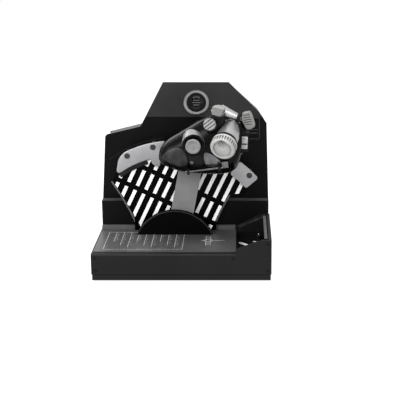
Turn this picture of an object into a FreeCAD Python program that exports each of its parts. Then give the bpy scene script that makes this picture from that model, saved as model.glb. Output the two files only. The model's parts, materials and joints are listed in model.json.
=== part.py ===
"""Throttle quadrant: a desk-mounted lever unit with a multi-control hand grip.

Frame: millimetres, +Z up, +X to the right (which is also forward thrust), +Y away from the user.
The origin is on the standing surface, at the middle of the base.
The lever turns about a shaft that lies along Y inside the base.  Everything on the lever is placed
from the lever arm's own frame, whose origin is the shaft centre and whose Z runs up the arm.
Angles are in degrees, counted from +X towards +Z for the arc-shaped plates.
"""
import FreeCAD, Part
import math
import os
import re

import Sketcher
from FreeCAD import Vector

doc = FreeCAD.newDocument("ThrottleQuadrant")
sheet = doc.addObject("Spreadsheet::Sheet", "Sizes")

# ---------------------------------------------------------------- driving sizes
SIZES = [
    # base casing
    ("base_width", 230.0), ("base_depth", 170.0), ("base_height", 35.0),
    ("foot_height", 2.0), ("foot_radius", 9.0), ("foot_recess", 1.0), ("foot_inset_x", 18.0),
    ("foot_inset_y", 16.0),
    ("tray_height", 7.4), ("tray_inset", 0.8), ("tray_floor", 3.0), ("tray_wall", 2.0),
    ("neck_height", 3.3), ("seam_gap", 0.6), ("shell_wall", 2.5), ("deck_thick", 2.5),
    ("fit_gap", 0.1), ("front_bend", 3.0),
    ("mount_inset_x", 25.0), ("mount_inset_y", 27.0), ("mount_hole_radius", 2.6),
    ("mount_boss_radius", 6.0), ("mount_boss_height", 7.0),
    ("screw_radius", 1.5), ("screw_head_radius", 2.9), ("screw_head_height", 1.8),
    ("screw_clearance", 0.2), ("boss_radius", 4.0), ("tray_screw_inset_x", 11.0), ("tray_screw_inset_y", 37.0),
    ("tray_screw_length", 12.0), ("sink_gap", 0.2), ("pilot_depth", 14.0), ("trim_screw_inset", 5.0),
    ("trim_screw_radius", 1.2), ("trim_screw_head", 2.3), ("trim_screw_length", 6.0),
    ("trim_head_height", 0.9),
    # control bay at the right-hand end
    ("bay_width", 45.5), ("bay_wall", 4.0), ("bay_back", 25.0), ("bay_front_wall", 3.0),
    ("bay_back_wall", 5.0), ("bay_rise_start", 6.5), ("bay_rise_front", 18.5),
    ("bay_rise_back", 23.0), ("bay_flat", 13.0),
    ("liner_floor_drop", 9.0), ("liner_thick", 2.0), ("liner_wall", 1.5),
    ("bar_width", 4.6), ("bar_length", 17.0), ("bar_thick", 0.6),
    ("rotary_inset", 15.0), ("rotary_y", 6.0), ("rotary_radius", 4.6), ("rotary_height", 8.0),
    ("rotary_shaft_radius", 2.0),
    # panel, cover and rail on the deck
    ("panel_thick", 1.0), ("panel_front_gap", 9.0), ("panel_back", 18.6), ("panel_side_gap", 2.0),
    ("rail_front", 23.0), ("rail_height", 6.0), ("cover_radius", 56.0), ("cover_front", -2.0),
    ("cover_depth", 8.0), ("cover_wall", 2.5), ("slot_left", 31.0), ("slot_right", 37.0),
    ("slot_side_gap", 2.5),
    # tower
    ("wall_front", 29.0), ("ledge_height", 77.0), ("ledge_depth", 14.0), ("lean_rise", 43.5),
    ("tower_height", 234.0), ("lean_angle", 25.0), ("fascia_thick", 3.0), ("tower_top_left", 30.0),
    ("tower_top_right", 59.4), ("tower_step_x", 60.0), ("tower_step_height", 177.0),
    ("tower_shoulder_height", 165.5), ("tower_shoulder_inset", 7.0), ("tower_slope_inset", 15.0),
    ("tower_slope_drop", 37.0), ("tower_side_drop", 52.5), ("tower_side_inset", 4.2),
    ("tower_foot_inset", 1.2), ("tower_corner", 5.0), ("housing_inset", 2.5), ("housing_wall", 2.5),
    ("cover_plate", 2.5), ("back_screw_length", 8.0), ("back_screw_foot_inset", 12.0),
    ("back_screw_foot_rise", 9.0), ("back_screw_side_inset", 14.0), ("back_screw_side_drop", 15.5),
    ("back_screw_top_inset", 10.0), ("back_screw_top_drop", 14.0),
    ("vent_half_width", 30.0), ("vent_height", 3.0), ("vent_pitch", 7.0), ("vent_bottom", 110.0),
    # electronics behind the tower
    ("board_depth", 16.0), ("board_half_width", 45.0), ("board_rise", 8.0), ("board_height", 60.0),
    ("chip_size", 14.0), ("chip_thick", 2.0), ("board_post_x", 38.0), ("board_post_low", 52.0),
    ("board_post_high", 98.0), ("board_post_radius", 3.0), ("inlet_width", 9.2), ("inlet_height", 3.8),
    ("inlet_wall", 0.5), ("inlet_rise", 18.4), ("inlet_mouth_depth", 8.0), ("port_gap", 0.4),
    # round push button on the leaning face
    ("dial_x", 15.8), ("dial_drop", 26.0), ("bezel_radius", 17.4), ("bezel_bore", 12.8),
    ("bezel_proud", 2.6), ("bezel_neck", 14.4), ("bezel_depth", 12.0), ("button_gap", 0.25),
    ("button_thick", 5.0), ("button_proud", 1.2), ("button_travel", 2.0), ("nut_radius", 17.0),
    ("nut_thick", 3.0), ("switch_size", 12.0), ("switch_height", 9.0),
    # pivot and lever
    ("pivot_x", -13.0), ("pivot_z", 15.0), ("lever_lean", 11.0), ("shaft_radius", 4.0),
    ("bearing_radius", 8.0), ("bearing_width", 5.0), ("bearing_front", -6.0),
    ("bearing_back", 20.0), ("running_gap", 0.04), ("block_width", 26.0), ("block_cap", 3.0),
    ("arm_front", 8.0), ("arm_thick", 6.0), ("arm_width", 30.4), ("arm_top", 152.0),
    ("hub_radius", 8.5), ("hub_length", 16.0), ("arm_waist", 24.0),
    ("magnet_radius", 3.0), ("magnet_length", 2.0), ("sensor_gap", 1.0), ("board_thick", 1.6),
    # quadrant plate (the striped cheek behind the arm)
    ("plate_front", 19.0), ("plate_thick", 4.0), ("plate_radius", 136.0),
    ("plate_foot_x", 55.5), ("plate_foot_inner", 44.5), ("plate_ankle_z", 33.0),
    ("plate_knee_x", 62.5), ("plate_knee_z", 49.0), ("plate_hip_x", 75.0), ("plate_hip_z", 72.5),
    ("plate_foot_z", 22.0),
    ("plate_wing_x", 92.0), ("plate_wing_z", 71.5), ("plate_horn_x", 96.3), ("plate_horn_z", 77.0),
    ("plate_tip_x", 97.5), ("plate_tip_z", 82.0), ("plate_cheek_x", 86.0), ("plate_cheek_z", 90.0),
    ("plate_brow_x", 79.0), ("plate_brow_z", 101.5), ("plate_bevel", 2.4), ("arch_radius", 52.0), ("arch_drop", 4.0),
    ("stripe_angle", 25.5), ("stripe_pitch", 12.6), ("stripe_width", 4.6), ("stripe_depth", 1.0),
    ("stripe_row", 30.0), ("stripe_gap", 6.8), ("stripe_row_at", 67.0), ("stripe_phase", 5.6),
    ("stripe_rim", 3.0), ("stripe_top_extra", 9.0),
    # guard plates and wear strip
    ("guard_front", 16.0), ("guard_thick", 3.0), ("guard_inner", 126.5), ("guard_outer", 148.0),
    ("guard_left_end", 127.5), ("guard_left_start", 95.0), ("guard_right_start", 40.7),
    ("guard_right_end", 54.0), ("guard_corner", 3.0), ("guard_tip_corner", 9.0),
    ("guard_screw_ring", 142.0), ("guard_screw_1", 116.4), ("guard_screw_2", 101.6),
    ("guard_screw_3", 45.0), ("post_radius", 3.5), ("guard_head_radius", 3.9),
    ("guard_head_height", 1.6), ("strip_inner", 121.0), ("strip_thick", 1.5),
    ("strip_start", 107.0), ("strip_end", 126.5),
]
# Grip cross sections, from the nose at the left to the blunt right end.  Each is an ellipse square
# to the lever's X axis: place along X, centre height, half height and half depth.
GRIP_SECTIONS = [
    ("nose", -43.5, 134.0, 5.0, 4.5), ("tip", -41.0, 134.5, 11.0, 10.0),
    ("cheek", -35.0, 136.5, 17.5, 15.5), ("heel", -25.0, 140.0, 23.5, 19.5),
    ("palm", -8.0, 147.0, 32.0, 23.0), ("middle", 14.0, 156.0, 39.0, 25.0),
    ("shoulder", 38.0, 161.0, 40.0, 25.0), ("side", 53.0, 163.0, 36.0, 23.0),
    ("round", 60.0, 164.0, 27.0, 17.0), ("butt", 63.0, 164.0, 12.0, 9.0),
]
for section, *values in GRIP_SECTIONS:
    for what, value in zip(("at", "height", "half", "deep"), values):
        SIZES.append((f"grip_{section}_{what}", value))
SIZES += [
    ("grip_centre_y", -19.0), ("grip_split_y", -31.0), ("grip_face_right", 50.0), ("grip_face_top", 188.0), ("bracket_width", 24.0),
    ("bracket_bottom", 118.0), ("bracket_top", 148.0), ("bracket_front", -3.0),
    # mini-stick on the front of the grip
    ("cursor_x", -1.7), ("cursor_y", -48.5), ("cursor_z", 158.6), ("cursor_tilt", 94.0),
    ("cursor_pod_front", 13.6), ("cursor_pod_back", 16.5), ("cursor_pod_length", 27.0),
    ("cursor_face", 3.0), ("cursor_ring", 14.2), ("cursor_cap_radius", 9.6),
    # four-way hat above it
    ("hat_x", 15.3), ("hat_y", -42.7), ("hat_z", 186.2), ("hat_tilt", 70.0), ("hat_yaw", -15.0),
    ("hat_pod_radius", 8.6), ("hat_pod_length", 16.0), ("hat_cap_radius", 8.0), ("hat_face", 2.0),
    ("hat_groove", 1.4), ("hat_groove_pitch", 4.0), ("hat_groove_turn", -38.0),
    # parts both sticks share
    ("stick_stem", 1.6), ("stick_pin", 0.7), ("gimbal_bore", 3.2), ("gimbal_radius", 4.8),
    ("gimbal_height", 3.0), ("gimbal_well", 6.2), ("cap_clear", 2.4), ("cap_thick", 4.0),
    # turning knob on top
    ("crown_x", 22.5), ("crown_y", -36.0), ("crown_z", 198.5), ("crown_tilt", 20.0),
    ("crown_yaw", -20.0), ("crown_radius", 9.2), ("crown_height", 12.5), ("crown_base_radius", 8.4),
    ("crown_base_length", 15.0), ("crown_flat_start", 2.0), ("crown_flat_slope", 36.0), ("crown_gap", 0.4), ("crown_shaft", 2.5),
    # large ranging knob and its pod
    ("range_x", 37.3), ("range_y", -54.6), ("range_z", 170.5), ("range_tilt", 117.0),
    ("range_yaw", -11.0), ("range_radius", 16.4), ("range_thick", 12.5), ("range_gap", 2.2),
    ("range_pod_mouth", 14.2), ("range_pod_tail", 10.5), ("range_pod_length", 44.0),
    ("gasket_thick", 2.4), ("gasket_radius", 15.0), ("knurl_radius", 1.2), ("knurl_length", 8.0), ("range_shaft", 3.0), ("carrier_radius", 4.6),
    ("carrier_length", 16.0),
    # speed-brake paddle on the right
    ("paddle_x", 50.5), ("paddle_y", -25.0), ("paddle_z", 199.5), ("paddle_dip", 101.0),
    ("paddle_width", 14.0), ("paddle_length", 22.0), ("paddle_thick", 9.0), ("paddle_reach", 12.0),
    ("paddle_turn", -33.0), ("paddle_shaft", 3.2), ("paddle_pod_radius", 6.4), ("paddle_arm_radius", 4.6), ("paddle_flange", 3.4),
    ("paddle_pod_length", 27.0), ("paddle_root_radius", 8.0), ("paddle_swing", 7.0), ("running_space", 0.5),
    # slide switch on the right end
    ("slide_x", 61.4), ("slide_y", -26.0), ("slide_z", 169.5), ("slide_roll", -9.0),
    ("slide_width", 10.4), ("slide_length", 17.0), ("slide_thick", 5.0), ("slide_base_width", 13.0),
    ("slide_base_length", 25.0), ("slide_base_depth", 15.0), ("slide_travel", 4.0),
    # finger lift that frees the detent
    ("lift_x", 21.0), ("lift_y", -42.5), ("lift_z", 129.0), ("lift_slope", 18.0),
    ("lift_length", 56.0), ("lift_radius", 1.3), ("lift_tab_width", 8.0), ("lift_tab_height", 7.5),
    ("lift_tab_thick", 2.5), ("ear_thick", 3.0), ("ear_inset", 4.0),
]
VALUE = dict(SIZES)
for row, (alias, value) in enumerate(SIZES, start=1):
    sheet.set(f"A{row}", alias)
    sheet.set(f"B{row}", str(value))
    sheet.setAlias(f"B{row}", alias)
doc.recompute()

# Lengths worked out from the driving sizes, so that what lines up stays lined up.
DERIVED = {
    "mount_spacing_x": "(base_width - 2 * mount_inset_x)",
    "mount_spacing_y": "(base_depth - 2 * mount_inset_y)",
    "tray_screw_x": "(base_width / 2 - tray_screw_inset_x)",
    "tray_screw_y": "(base_depth / 2 - tray_screw_inset_y)",
    "bay_left": "(base_width / 2 - bay_width)",
    "rotary_x": "(base_width / 2 - rotary_inset)",
    "bend_height": "(tower_height - lean_rise)",
    "dial_height": "(tower_height - dial_drop)",
    "tower_slope_height": "(tower_height - tower_slope_drop)",
    "tower_side_height": "(tower_height - tower_side_drop)",
    "tower_foot_x": "(base_width / 2 - tower_foot_inset)",
    "tower_side_x": "(base_width / 2 - tower_side_inset)",
    "tower_shoulder_x": "(base_width / 2 - tower_shoulder_inset)",
    "tower_slope_x": "(base_width / 2 - tower_slope_inset)",
    "tower_back": "(base_depth / 2 - screw_head_height - sink_gap)",
}
PARTS = {}
WORD = re.compile(r"[a-z][a-z0-9_]*")


# ---------------------------------------------------------------- small helpers
def ex(text):
    """Point every size name in an expression at the sheet, through the derived lengths."""
    def place(match):
        word = match.group()
        if word in DERIVED:
            return ex(DERIVED[word])
        return "Sizes." + word if word in VALUE else word
    return WORD.sub(place, str(text))


def bind(obj, **props):
    for name, text in props.items():
        obj.setExpression(name, ex(text))
    return obj


def part(label, obj):
    """Register a finished sub-part under the name its file gets."""
    obj.Label = label
    PARTS[label] = obj
    return obj


def turn_text(turns):
    return "".join(f" * rotation(vector({axis}); {angle})" for axis, angle in turns)


def put(obj, x, y, z, *turns, on=None):
    """Place an object in the world, or in the frame of the object called on."""
    place = f"placement(vector({x}; {y}; {z}); rotation(vector(0; 0; 1); 0){turn_text(turns)})"
    frame = f"{on}.Placement * " if on else ""
    obj.setExpression("Placement", frame + ex(place))
    return obj


ABOUT_X = "1; 0; 0"
ABOUT_Y = "0; 1; 0"
ABOUT_Z = "0; 0; 1"


def box(name, x, y, z, sx, sy, sz):
    """A box from its low corner (x, y, z) and its three sizes."""
    b = bind(doc.addObject("Part::Box", name), Length=sx, Width=sy, Height=sz)
    return put(b, x, y, z)


def cylinder(name, radius, length, x=0, y=0, z=0, turns=(), angle=360, on=None):
    c = bind(doc.addObject("Part::Cylinder", name), Radius=radius, Height=length, Angle=angle)
    return put(c, x, y, z, *turns, on=on)


def cone(name, r_low, r_high, length, x, y, z, turns, on=None):
    c = bind(doc.addObject("Part::Cone", name), Radius1=r_low, Radius2=r_high, Height=length)
    return put(c, x, y, z, *turns, on=on)


def cut(name, base, tool):
    c = doc.addObject("Part::Cut", name)
    c.Base, c.Tool = base, tool
    return c


def fuse(name, *pieces):
    f = doc.addObject("Part::MultiFuse", name)
    f.Shapes = list(pieces)
    f.Refine = True
    return f


def common(name, *pieces):
    c = doc.addObject("Part::MultiCommon", name)
    c.Shapes = list(pieces)
    return c


def group(name, *pieces):
    g = doc.addObject("Part::Compound", name)
    g.Links = list(pieces)
    return g


def body(name):
    return doc.addObject("PartDesign::Body", name)


def plane_of(owner, role):
    return next(f for f in owner.Origin.OriginFeatures if f.Role == role)


def sketch_on(owner, role, at=0):
    sk = owner.newObject("Sketcher::SketchObject", "Sketch")
    sk.AttachmentSupport = [(plane_of(owner, role), "")]
    sk.MapMode = "FlatFace"
    sk.setExpression(".AttachmentOffset.Base.z", ex(at))
    return sk


def fix(sk, geometry, point, x, y):
    """Tie one point of a sketch to two expressions, from the sketch origin."""
    for kind, text in (("DistanceX", x), ("DistanceY", y)):
        value = float(sheet.evalExpression(ex(text)))
        index = sk.addConstraint(Sketcher.Constraint(kind, -1, 1, geometry, point, value))
        sk.setExpression(f"Constraints[{index}]", ex(text))


def polygon(owner, role, corners, at=0):
    """Closed outline through corners given as pairs of expressions."""
    sk = sketch_on(owner, role, at)
    spots = [Vector(*(float(sheet.evalExpression(ex(t))) for t in c), 0) for c in corners]
    count = len(spots)
    for i in range(count):
        sk.addGeometry(Part.LineSegment(spots[i], spots[(i + 1) % count]))
    for i in range(count):
        sk.addConstraint(Sketcher.Constraint("Coincident", i, 2, (i + 1) % count, 1))
    for i, (x, y) in enumerate(corners):
        fix(sk, i, 1, x, y)
    return sk


def circles(owner, role, rings, at=0):
    """Circles given as (x, y, radius) expressions."""
    sk = sketch_on(owner, role, at)
    for x, y, radius in rings:
        cx, cy, r = (float(sheet.evalExpression(ex(t))) for t in (x, y, radius))
        g = sk.addGeometry(Part.Circle(Vector(cx, cy, 0), Vector(0, 0, 1), r))
        fix(sk, g, 3, x, y)
        index = sk.addConstraint(Sketcher.Constraint("Radius", g, r))
        sk.setExpression(f"Constraints[{index}]", ex(radius))
    return sk


def rectangle(owner, role, x0, y0, x1, y1, at=0):
    return polygon(owner, role, [(x0, y0), (x1, y0), (x1, y1), (x0, y1)], at)


def feature(owner, kind, sk, length, reverse=False, through=False):
    f = owner.newObject("PartDesign::" + kind, kind)
    f.Profile = sk
    f.Reversed = reverse
    if through:
        f.Type = "ThroughAll"
    else:
        f.setExpression("Length", ex(length))
    doc.recompute()
    return f


def turned(name, corners):
    """A round piece: its half section, as (radius, height) pairs, spun about its own Z axis."""
    b = body(name)
    sk = polygon(b, "XZ_Plane", corners)
    r = b.newObject("PartDesign::Revolution", "Revolution")
    r.Profile = sk
    r.ReferenceAxis = (sk, ["V_Axis"])
    r.Angle = 360
    doc.recompute()
    return b


def edges_where(feat, test):
    """Names of a feature's edges whose two ends and middle pass a test."""
    names = []
    for i, e in enumerate(feat.Shape.Edges, start=1):
        mid = e.valueAt((e.FirstParameter + e.LastParameter) / 2)
        if all(test(v.Point) for v in e.Vertexes) and test(mid):
            names.append(f"Edge{i}")
    return names


def dress(owner, kind, base, test, size):
    """Fillet or chamfer the edges of a body feature that pass a test."""
    doc.recompute()
    names = edges_where(base, test)
    if not names:
        raise RuntimeError(f"no edge found for {kind} on {owner.Name}")
    f = owner.newObject("PartDesign::" + kind, kind)
    f.Base = (base, names)
    f.setExpression("Radius" if kind == "Fillet" else "Size", ex(size))
    doc.recompute()
    return f


def number(text):
    return float(sheet.evalExpression(ex(text)))


def near(a, b, slack=0.05):
    return abs(a - b) < slack


# ---------------------------------------------------------------- named places
FRONT = "-base_depth / 2"
BACK = "base_depth / 2"
TRAY_TOP = "(foot_height + tray_height)"
SHELL_BOTTOM = "(foot_height + tray_height + seam_gap)"
DECK = "(foot_height + base_height)"
FLOOR = "(foot_height + tray_floor)"
PANEL_TOP = f"({DECK} + panel_thick)"
MID_FRONT = "(wall_front + ledge_depth)"
LINER_FLOOR = f"({DECK} - liner_floor_drop)"
ARM_BACK = "(arm_front + arm_thick)"
TOP_FRONT = f"({MID_FRONT} + (tower_height - bend_height) * tan(lean_angle))"
DIAL_Y = f"({MID_FRONT} + (dial_height - bend_height) * tan(lean_angle))"
TO_VIEWER = ((ABOUT_X, 90),)


def corners4(x, y):
    return [(f"{sx}{x}", f"{sy}{y}") for sx in ("-", "") for sy in ("-", "")]


MOUNT_SPOTS = corners4("mount_spacing_x / 2", "mount_spacing_y / 2")
SCREW_SPOTS = [("-tray_screw_x", "-tray_screw_y"), ("-tray_screw_x", "0"), ("-tray_screw_x", "tray_screw_y"),
               ("bay_left - 2 * boss_radius", "-tray_screw_y"), ("bay_left - 2 * boss_radius", "0"),
               ("tray_screw_x", "tray_screw_y")]
FOOT_SPOTS = corners4("(base_width / 2 - foot_inset_x)", "(base_depth / 2 - foot_inset_y)")


# ---------------------------------------------------------------- base casing
def base_tray():
    b = body("TrayBody")
    half_x, half_y = "(base_width / 2 - tray_inset)", "(base_depth / 2 - tray_inset)"
    in_x, in_y = ("(base_width / 2 - shell_wall - fit_gap)", "(base_depth / 2 - shell_wall - fit_gap)")
    lip = rectangle(b, "XY_Plane", f"-{half_x}", f"-{half_y}", half_x, half_y, "foot_height")
    feature(b, "Pad", lip, "tray_height")
    neck = rectangle(b, "XY_Plane", f"-{in_x}", f"-{in_y}", in_x, in_y, "foot_height")
    feature(b, "Pad", neck, "tray_height + neck_height")
    inside = rectangle(b, "XY_Plane", f"-({in_x} - tray_wall)", f"-({in_y} - tray_wall)",
                       f"{in_x} - tray_wall", f"{in_y} - tray_wall", f"{TRAY_TOP} + neck_height")
    feature(b, "Pocket", inside, "tray_height + neck_height - tray_floor")
    bosses = circles(b, "XY_Plane", [(x, y, "mount_boss_radius") for x, y in MOUNT_SPOTS], "foot_height")
    feature(b, "Pad", bosses, "tray_floor + mount_boss_height")
    holes = [(x, y, "mount_hole_radius") for x, y in MOUNT_SPOTS]
    holes += [(x, y, "screw_radius + screw_clearance") for x, y in SCREW_SPOTS]
    feature(b, "Pocket", circles(b, "XY_Plane", holes, f"{TRAY_TOP} + neck_height + 1"), "", through=True)
    sinks = [(x, y, "screw_head_radius + screw_clearance") for x, y in SCREW_SPOTS]
    feature(b, "Pocket", circles(b, "XY_Plane", sinks, "foot_height"), "screw_head_height + sink_gap",
            reverse=True)
    rests = [(x, y, "foot_radius") for x, y in FOOT_SPOTS]
    feature(b, "Pocket", circles(b, "XY_Plane", rests, "foot_height"), "foot_recess", reverse=True)
    part("base_tray", b)


def rubber_feet():
    pads = []
    for i, (x, y) in enumerate(FOOT_SPOTS):
        pads.append(cone(f"Foot{i}", "foot_radius - 1", "foot_radius", "foot_height + foot_recess",
                         x, y, 0, ()))
    part("rubber_feet", group("RubberFeet", *pads))


def cap_screw(name, shank, head_radius, head_height, length, x, y, z, *turns, on=None):
    """Round-headed screw with a hexagon socket.  Its own Z points out of the head."""
    stem = cylinder(name + "Stem", shank, length, 0, 0, f"-({length})")
    head = cone(name + "Head", head_radius, f"0.8 * ({head_radius})", head_height, 0, 0, 0, ())
    key = doc.addObject("Part::Prism", name + "Key")
    key.Polygon = 6
    bind(key, Circumradius=f"0.45 * ({head_radius})", Height=head_height)
    put(key, 0, 0, f"0.4 * ({head_height})")
    screw = cut(name, fuse(name + "Blank", stem, head), key)
    return put(screw, x, y, z, *turns, on=on)


def tray_screws():
    screws = []
    for i, (x, y) in enumerate(SCREW_SPOTS):
        screws.append(cap_screw(f"TrayScrew{i}", "screw_radius", "screw_head_radius", "screw_head_height",
                                "tray_screw_length", x, y, "foot_height + screw_head_height + sink_gap",
                                (ABOUT_X, 180)))
    part("tray_screws", group("TrayScrews", *screws))


def bay_profile(rise):
    """Front view of the raised end: low at the bay's left edge, flat at the casing's right edge."""
    right = "base_width / 2"
    low = f"{DECK} - 6"
    return [("bay_left", low), (right, low), (right, f"{DECK} + {rise}"),
            (f"{right} - bay_flat", f"{DECK} + {rise}"), ("bay_left", f"{DECK} + bay_rise_start")]


def base_shell():
    b = body("ShellBody")
    half_x, half_y = "base_width / 2", "base_depth / 2"
    outer = rectangle(b, "XY_Plane", f"-{half_x}", f"-{half_y}", half_x, half_y, SHELL_BOTTOM)
    block = feature(b, "Pad", outer, f"{DECK} - {SHELL_BOTTOM}")
    front, top = number(FRONT), number(DECK)
    dress(b, "Fillet", block, lambda p: near(p.y, front) and near(p.z, top), "front_bend")
    near_end = polygon(b, "XZ_Plane", bay_profile("bay_rise_front"), "base_depth / 2")
    far_end = polygon(b, "XZ_Plane", bay_profile("bay_rise_back"), "-bay_back")
    rise = b.newObject("PartDesign::AdditiveLoft", "RaisedEnd")
    rise.Profile = near_end
    rise.Sections = [far_end]
    rise.Ruled = True
    doc.recompute()
    bay = rectangle(b, "XY_Plane", "bay_left", f"{FRONT} + bay_front_wall",
                    "base_width / 2 - bay_wall", "bay_back - bay_back_wall",
                    f"{DECK} + bay_rise_back + 5")
    feature(b, "Pocket", bay, "", through=True)
    wall = "shell_wall"
    inside = rectangle(b, "XY_Plane", f"-({half_x} - {wall})", f"-({half_y} - {wall})",
                       f"{half_x} - {wall}", f"{half_y} - {wall}", SHELL_BOTTOM)
    feature(b, "Pocket", inside, f"{DECK} - deck_thick - {SHELL_BOTTOM}", reverse=True)
    slot = rectangle(b, "XY_Plane", "pivot_x - slot_left", "arm_front - slot_side_gap",
                     "pivot_x + slot_right", f"{ARM_BACK} + slot_side_gap", f"{DECK} + 1")
    feature(b, "Pocket", slot, "deck_thick + 2")
    bosses = circles(b, "XY_Plane", [(x, y, "boss_radius") for x, y in SCREW_SPOTS],
                     f"{DECK} - deck_thick / 2")
    feature(b, "Pad", bosses, f"{DECK} - deck_thick / 2 - {FLOOR} - 4 * fit_gap", reverse=True)
    pilots = circles(b, "XY_Plane", [(x, y, "screw_radius") for x, y in SCREW_SPOTS],
                     f"{FLOOR} - 1")
    feature(b, "Pocket", pilots, "pilot_depth", reverse=True)
    spots = [(x, z, "trim_screw_radius") for x, z in front_screw_spots()]
    feature(b, "Pocket", circles(b, "XZ_Plane", spots, "base_depth / 2 + 1"),
            "1 + trim_head_height + trim_screw_length")
    sinks = [(x, z, "trim_screw_head + fit_gap") for x, z in front_screw_spots()]
    feature(b, "Pocket", circles(b, "XZ_Plane", sinks, "base_depth / 2 + 1"), "1 + trim_head_height")
    part("base_shell", b)


def front_screw_spots():
    i = "trim_screw_inset"
    right, left = f"base_width / 2 - {i}", f"-base_width / 2 + {i}"
    return [(left, f"{DECK} - {i}"), (left, f"{SHELL_BOTTOM} + {i}"), (right, f"{SHELL_BOTTOM} + {i}"),
            (right, f"{DECK} + bay_rise_front - {i}"), (f"bay_left - 0.6 * {i}", f"{DECK} - 1.2 * {i}")]


def front_screws():
    screws = []
    for i, (x, z) in enumerate(front_screw_spots()):
        screws.append(cap_screw(f"FrontScrew{i}", "trim_screw_radius", "trim_screw_head", "trim_head_height",
                                "trim_screw_length", x, f"{FRONT} + trim_head_height", z, (ABOUT_X, 90)))
    part("front_screws", group("FrontScrews", *screws))


def bay_liner():
    """Open-topped tray that closes the bay below the raised end."""
    b = body("LinerBody")
    low = f"({LINER_FLOOR} - liner_thick)"
    x0, x1 = "(bay_left + fit_gap)", "(base_width / 2 - bay_wall - fit_gap)"
    y0 = f"({FRONT} + bay_front_wall + fit_gap)"
    y1 = "(bay_back - bay_back_wall - fit_gap)"
    feature(b, "Pad", rectangle(b, "XY_Plane", x0, y0, x1, y1, low), f"{DECK} - {low}")
    inside = rectangle(b, "XY_Plane", f"{x0} + liner_wall", f"{y0} + liner_wall",
                       f"{x1} - liner_wall", f"{y1} - liner_wall", DECK)
    feature(b, "Pocket", inside, "liner_floor_drop")
    shaft = circles(b, "XY_Plane", [("rotary_x", "rotary_y", "rotary_shaft_radius + 1")], DECK)
    feature(b, "Pocket", shaft, "", through=True)
    part("bay_liner", b)


def bay_bars():
    """Two plain index bars lying on the bay floor."""
    bars = []
    for i, (x, y, angle) in enumerate((("bay_left + 3", "-9", -45), ("bay_left + 25", "-9", -58))):
        bar = bind(doc.addObject("Part::Box", f"BayBar{i}"), Length="bar_length", Width="bar_width",
                   Height="bar_thick")
        bars.append(put(bar, x, y, LINER_FLOOR, (ABOUT_Z, angle)))
    part("bay_bars", group("BayBars", *bars))


def rotary_control():
    """Small turning knob on the bay floor, with its encoder hung below."""
    knob = turned("RotaryKnobBody", [
        (0, 0.5), ("rotary_radius", 0.5), ("rotary_radius", "rotary_height - 1"),
        ("rotary_radius - 1", "rotary_height"), (0, "rotary_height")])
    shaft = cylinder("RotaryShaft", "rotary_shaft_radius", "liner_thick + 4", 0, 0, "-liner_thick - 3")
    joined = fuse("RotaryKnob", knob, shaft)
    part("rotary_knob", put(joined, "rotary_x", "rotary_y", LINER_FLOOR))
    can = box("EncoderCan", "rotary_x - 5.5", "rotary_y - 5.5", f"{LINER_FLOOR} - liner_thick - 6",
              "11", "11", "6")
    bore = cylinder("EncoderBore", "rotary_shaft_radius + running_gap", "8", "rotary_x", "rotary_y",
                    f"{LINER_FLOOR} - liner_thick - 4")
    part("rotary_encoder", cut("RotaryEncoder", can, bore))


# ---------------------------------------------------------------- on the deck
def legend_panel():
    b = body("PanelBody")
    sk = rectangle(b, "XY_Plane", f"-base_width / 2 + panel_side_gap", f"{FRONT} + panel_front_gap",
                   "bay_left - fit_gap", "panel_back", DECK)
    feature(b, "Pad", sk, "panel_thick")
    slot = rectangle(b, "XY_Plane", "pivot_x - slot_left", "arm_front - slot_side_gap",
                     "pivot_x + slot_right", f"{ARM_BACK} + slot_side_gap", f"{PANEL_TOP} + 1")
    feature(b, "Pocket", slot, "panel_thick + 2")
    part("legend_panel", b)


def hub_cover():
    """Half-round cover in front of the lever slot."""
    back = "(cover_front + cover_depth)"
    disc = cylinder("CoverDisc", "cover_radius", "cover_depth", "pivot_x", back, "pivot_z", TO_VIEWER)
    rim = doc.addObject("Part::Chamfer", "CoverEdge")
    rim.Base = disc
    doc.recompute()
    at = [i for i, e in enumerate(disc.Shape.Edges, 1) if near(e.CenterOfMass.y, number("cover_front"))
          and e.Curve.TypeId == "Part::GeomCircle"]
    rim.Edges = [(i, 1.0, 1.0) for i in at]
    above = box("CoverRegion", "pivot_x - cover_radius - 1", "cover_front - 1", PANEL_TOP,
                "2 * cover_radius + 2", "cover_depth + 2", "cover_radius")
    hollow = cylinder("CoverHollow", "cover_radius - cover_wall", "cover_depth", "pivot_x",
                      f"{back} + cover_wall", "pivot_z", TO_VIEWER)
    part("hub_cover", cut("HubCover", common("CoverBlank", rim, above), hollow))


def foot_rail():
    part("foot_rail", box("FootRail", "-tower_foot_x", "rail_front", DECK, "tower_foot_x + bay_left - 1",
                          "wall_front - rail_front", "rail_height"))


# ---------------------------------------------------------------- tower
def tower_outline(inset):
    """Front view of the tower, drawn in from its edge by inset, clockwise from the foot."""
    i = f"({inset})"
    return [
        (f"-tower_foot_x + {i}", f"{DECK}"),
        (f"-tower_foot_x + {i}", "ledge_height"),
        (f"-tower_shoulder_x + {i}", f"tower_shoulder_height - {i}"),
        (f"-tower_step_x + 0.3 * {i}", f"tower_step_height - {i}"),
        (f"-tower_top_left + 0.5 * {i}", f"tower_height - {i}"),
        (f"tower_top_right - 0.4 * {i}", f"tower_height - {i}"),
        (f"tower_slope_x - 0.7 * {i}", f"tower_slope_height - 0.7 * {i}"),
        (f"tower_side_x - {i}", f"tower_side_height - 0.5 * {i}"),
        (f"tower_foot_x - {i}", "ledge_height"),
        (f"tower_foot_x - {i}", f"{DECK}"),
    ]


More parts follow.
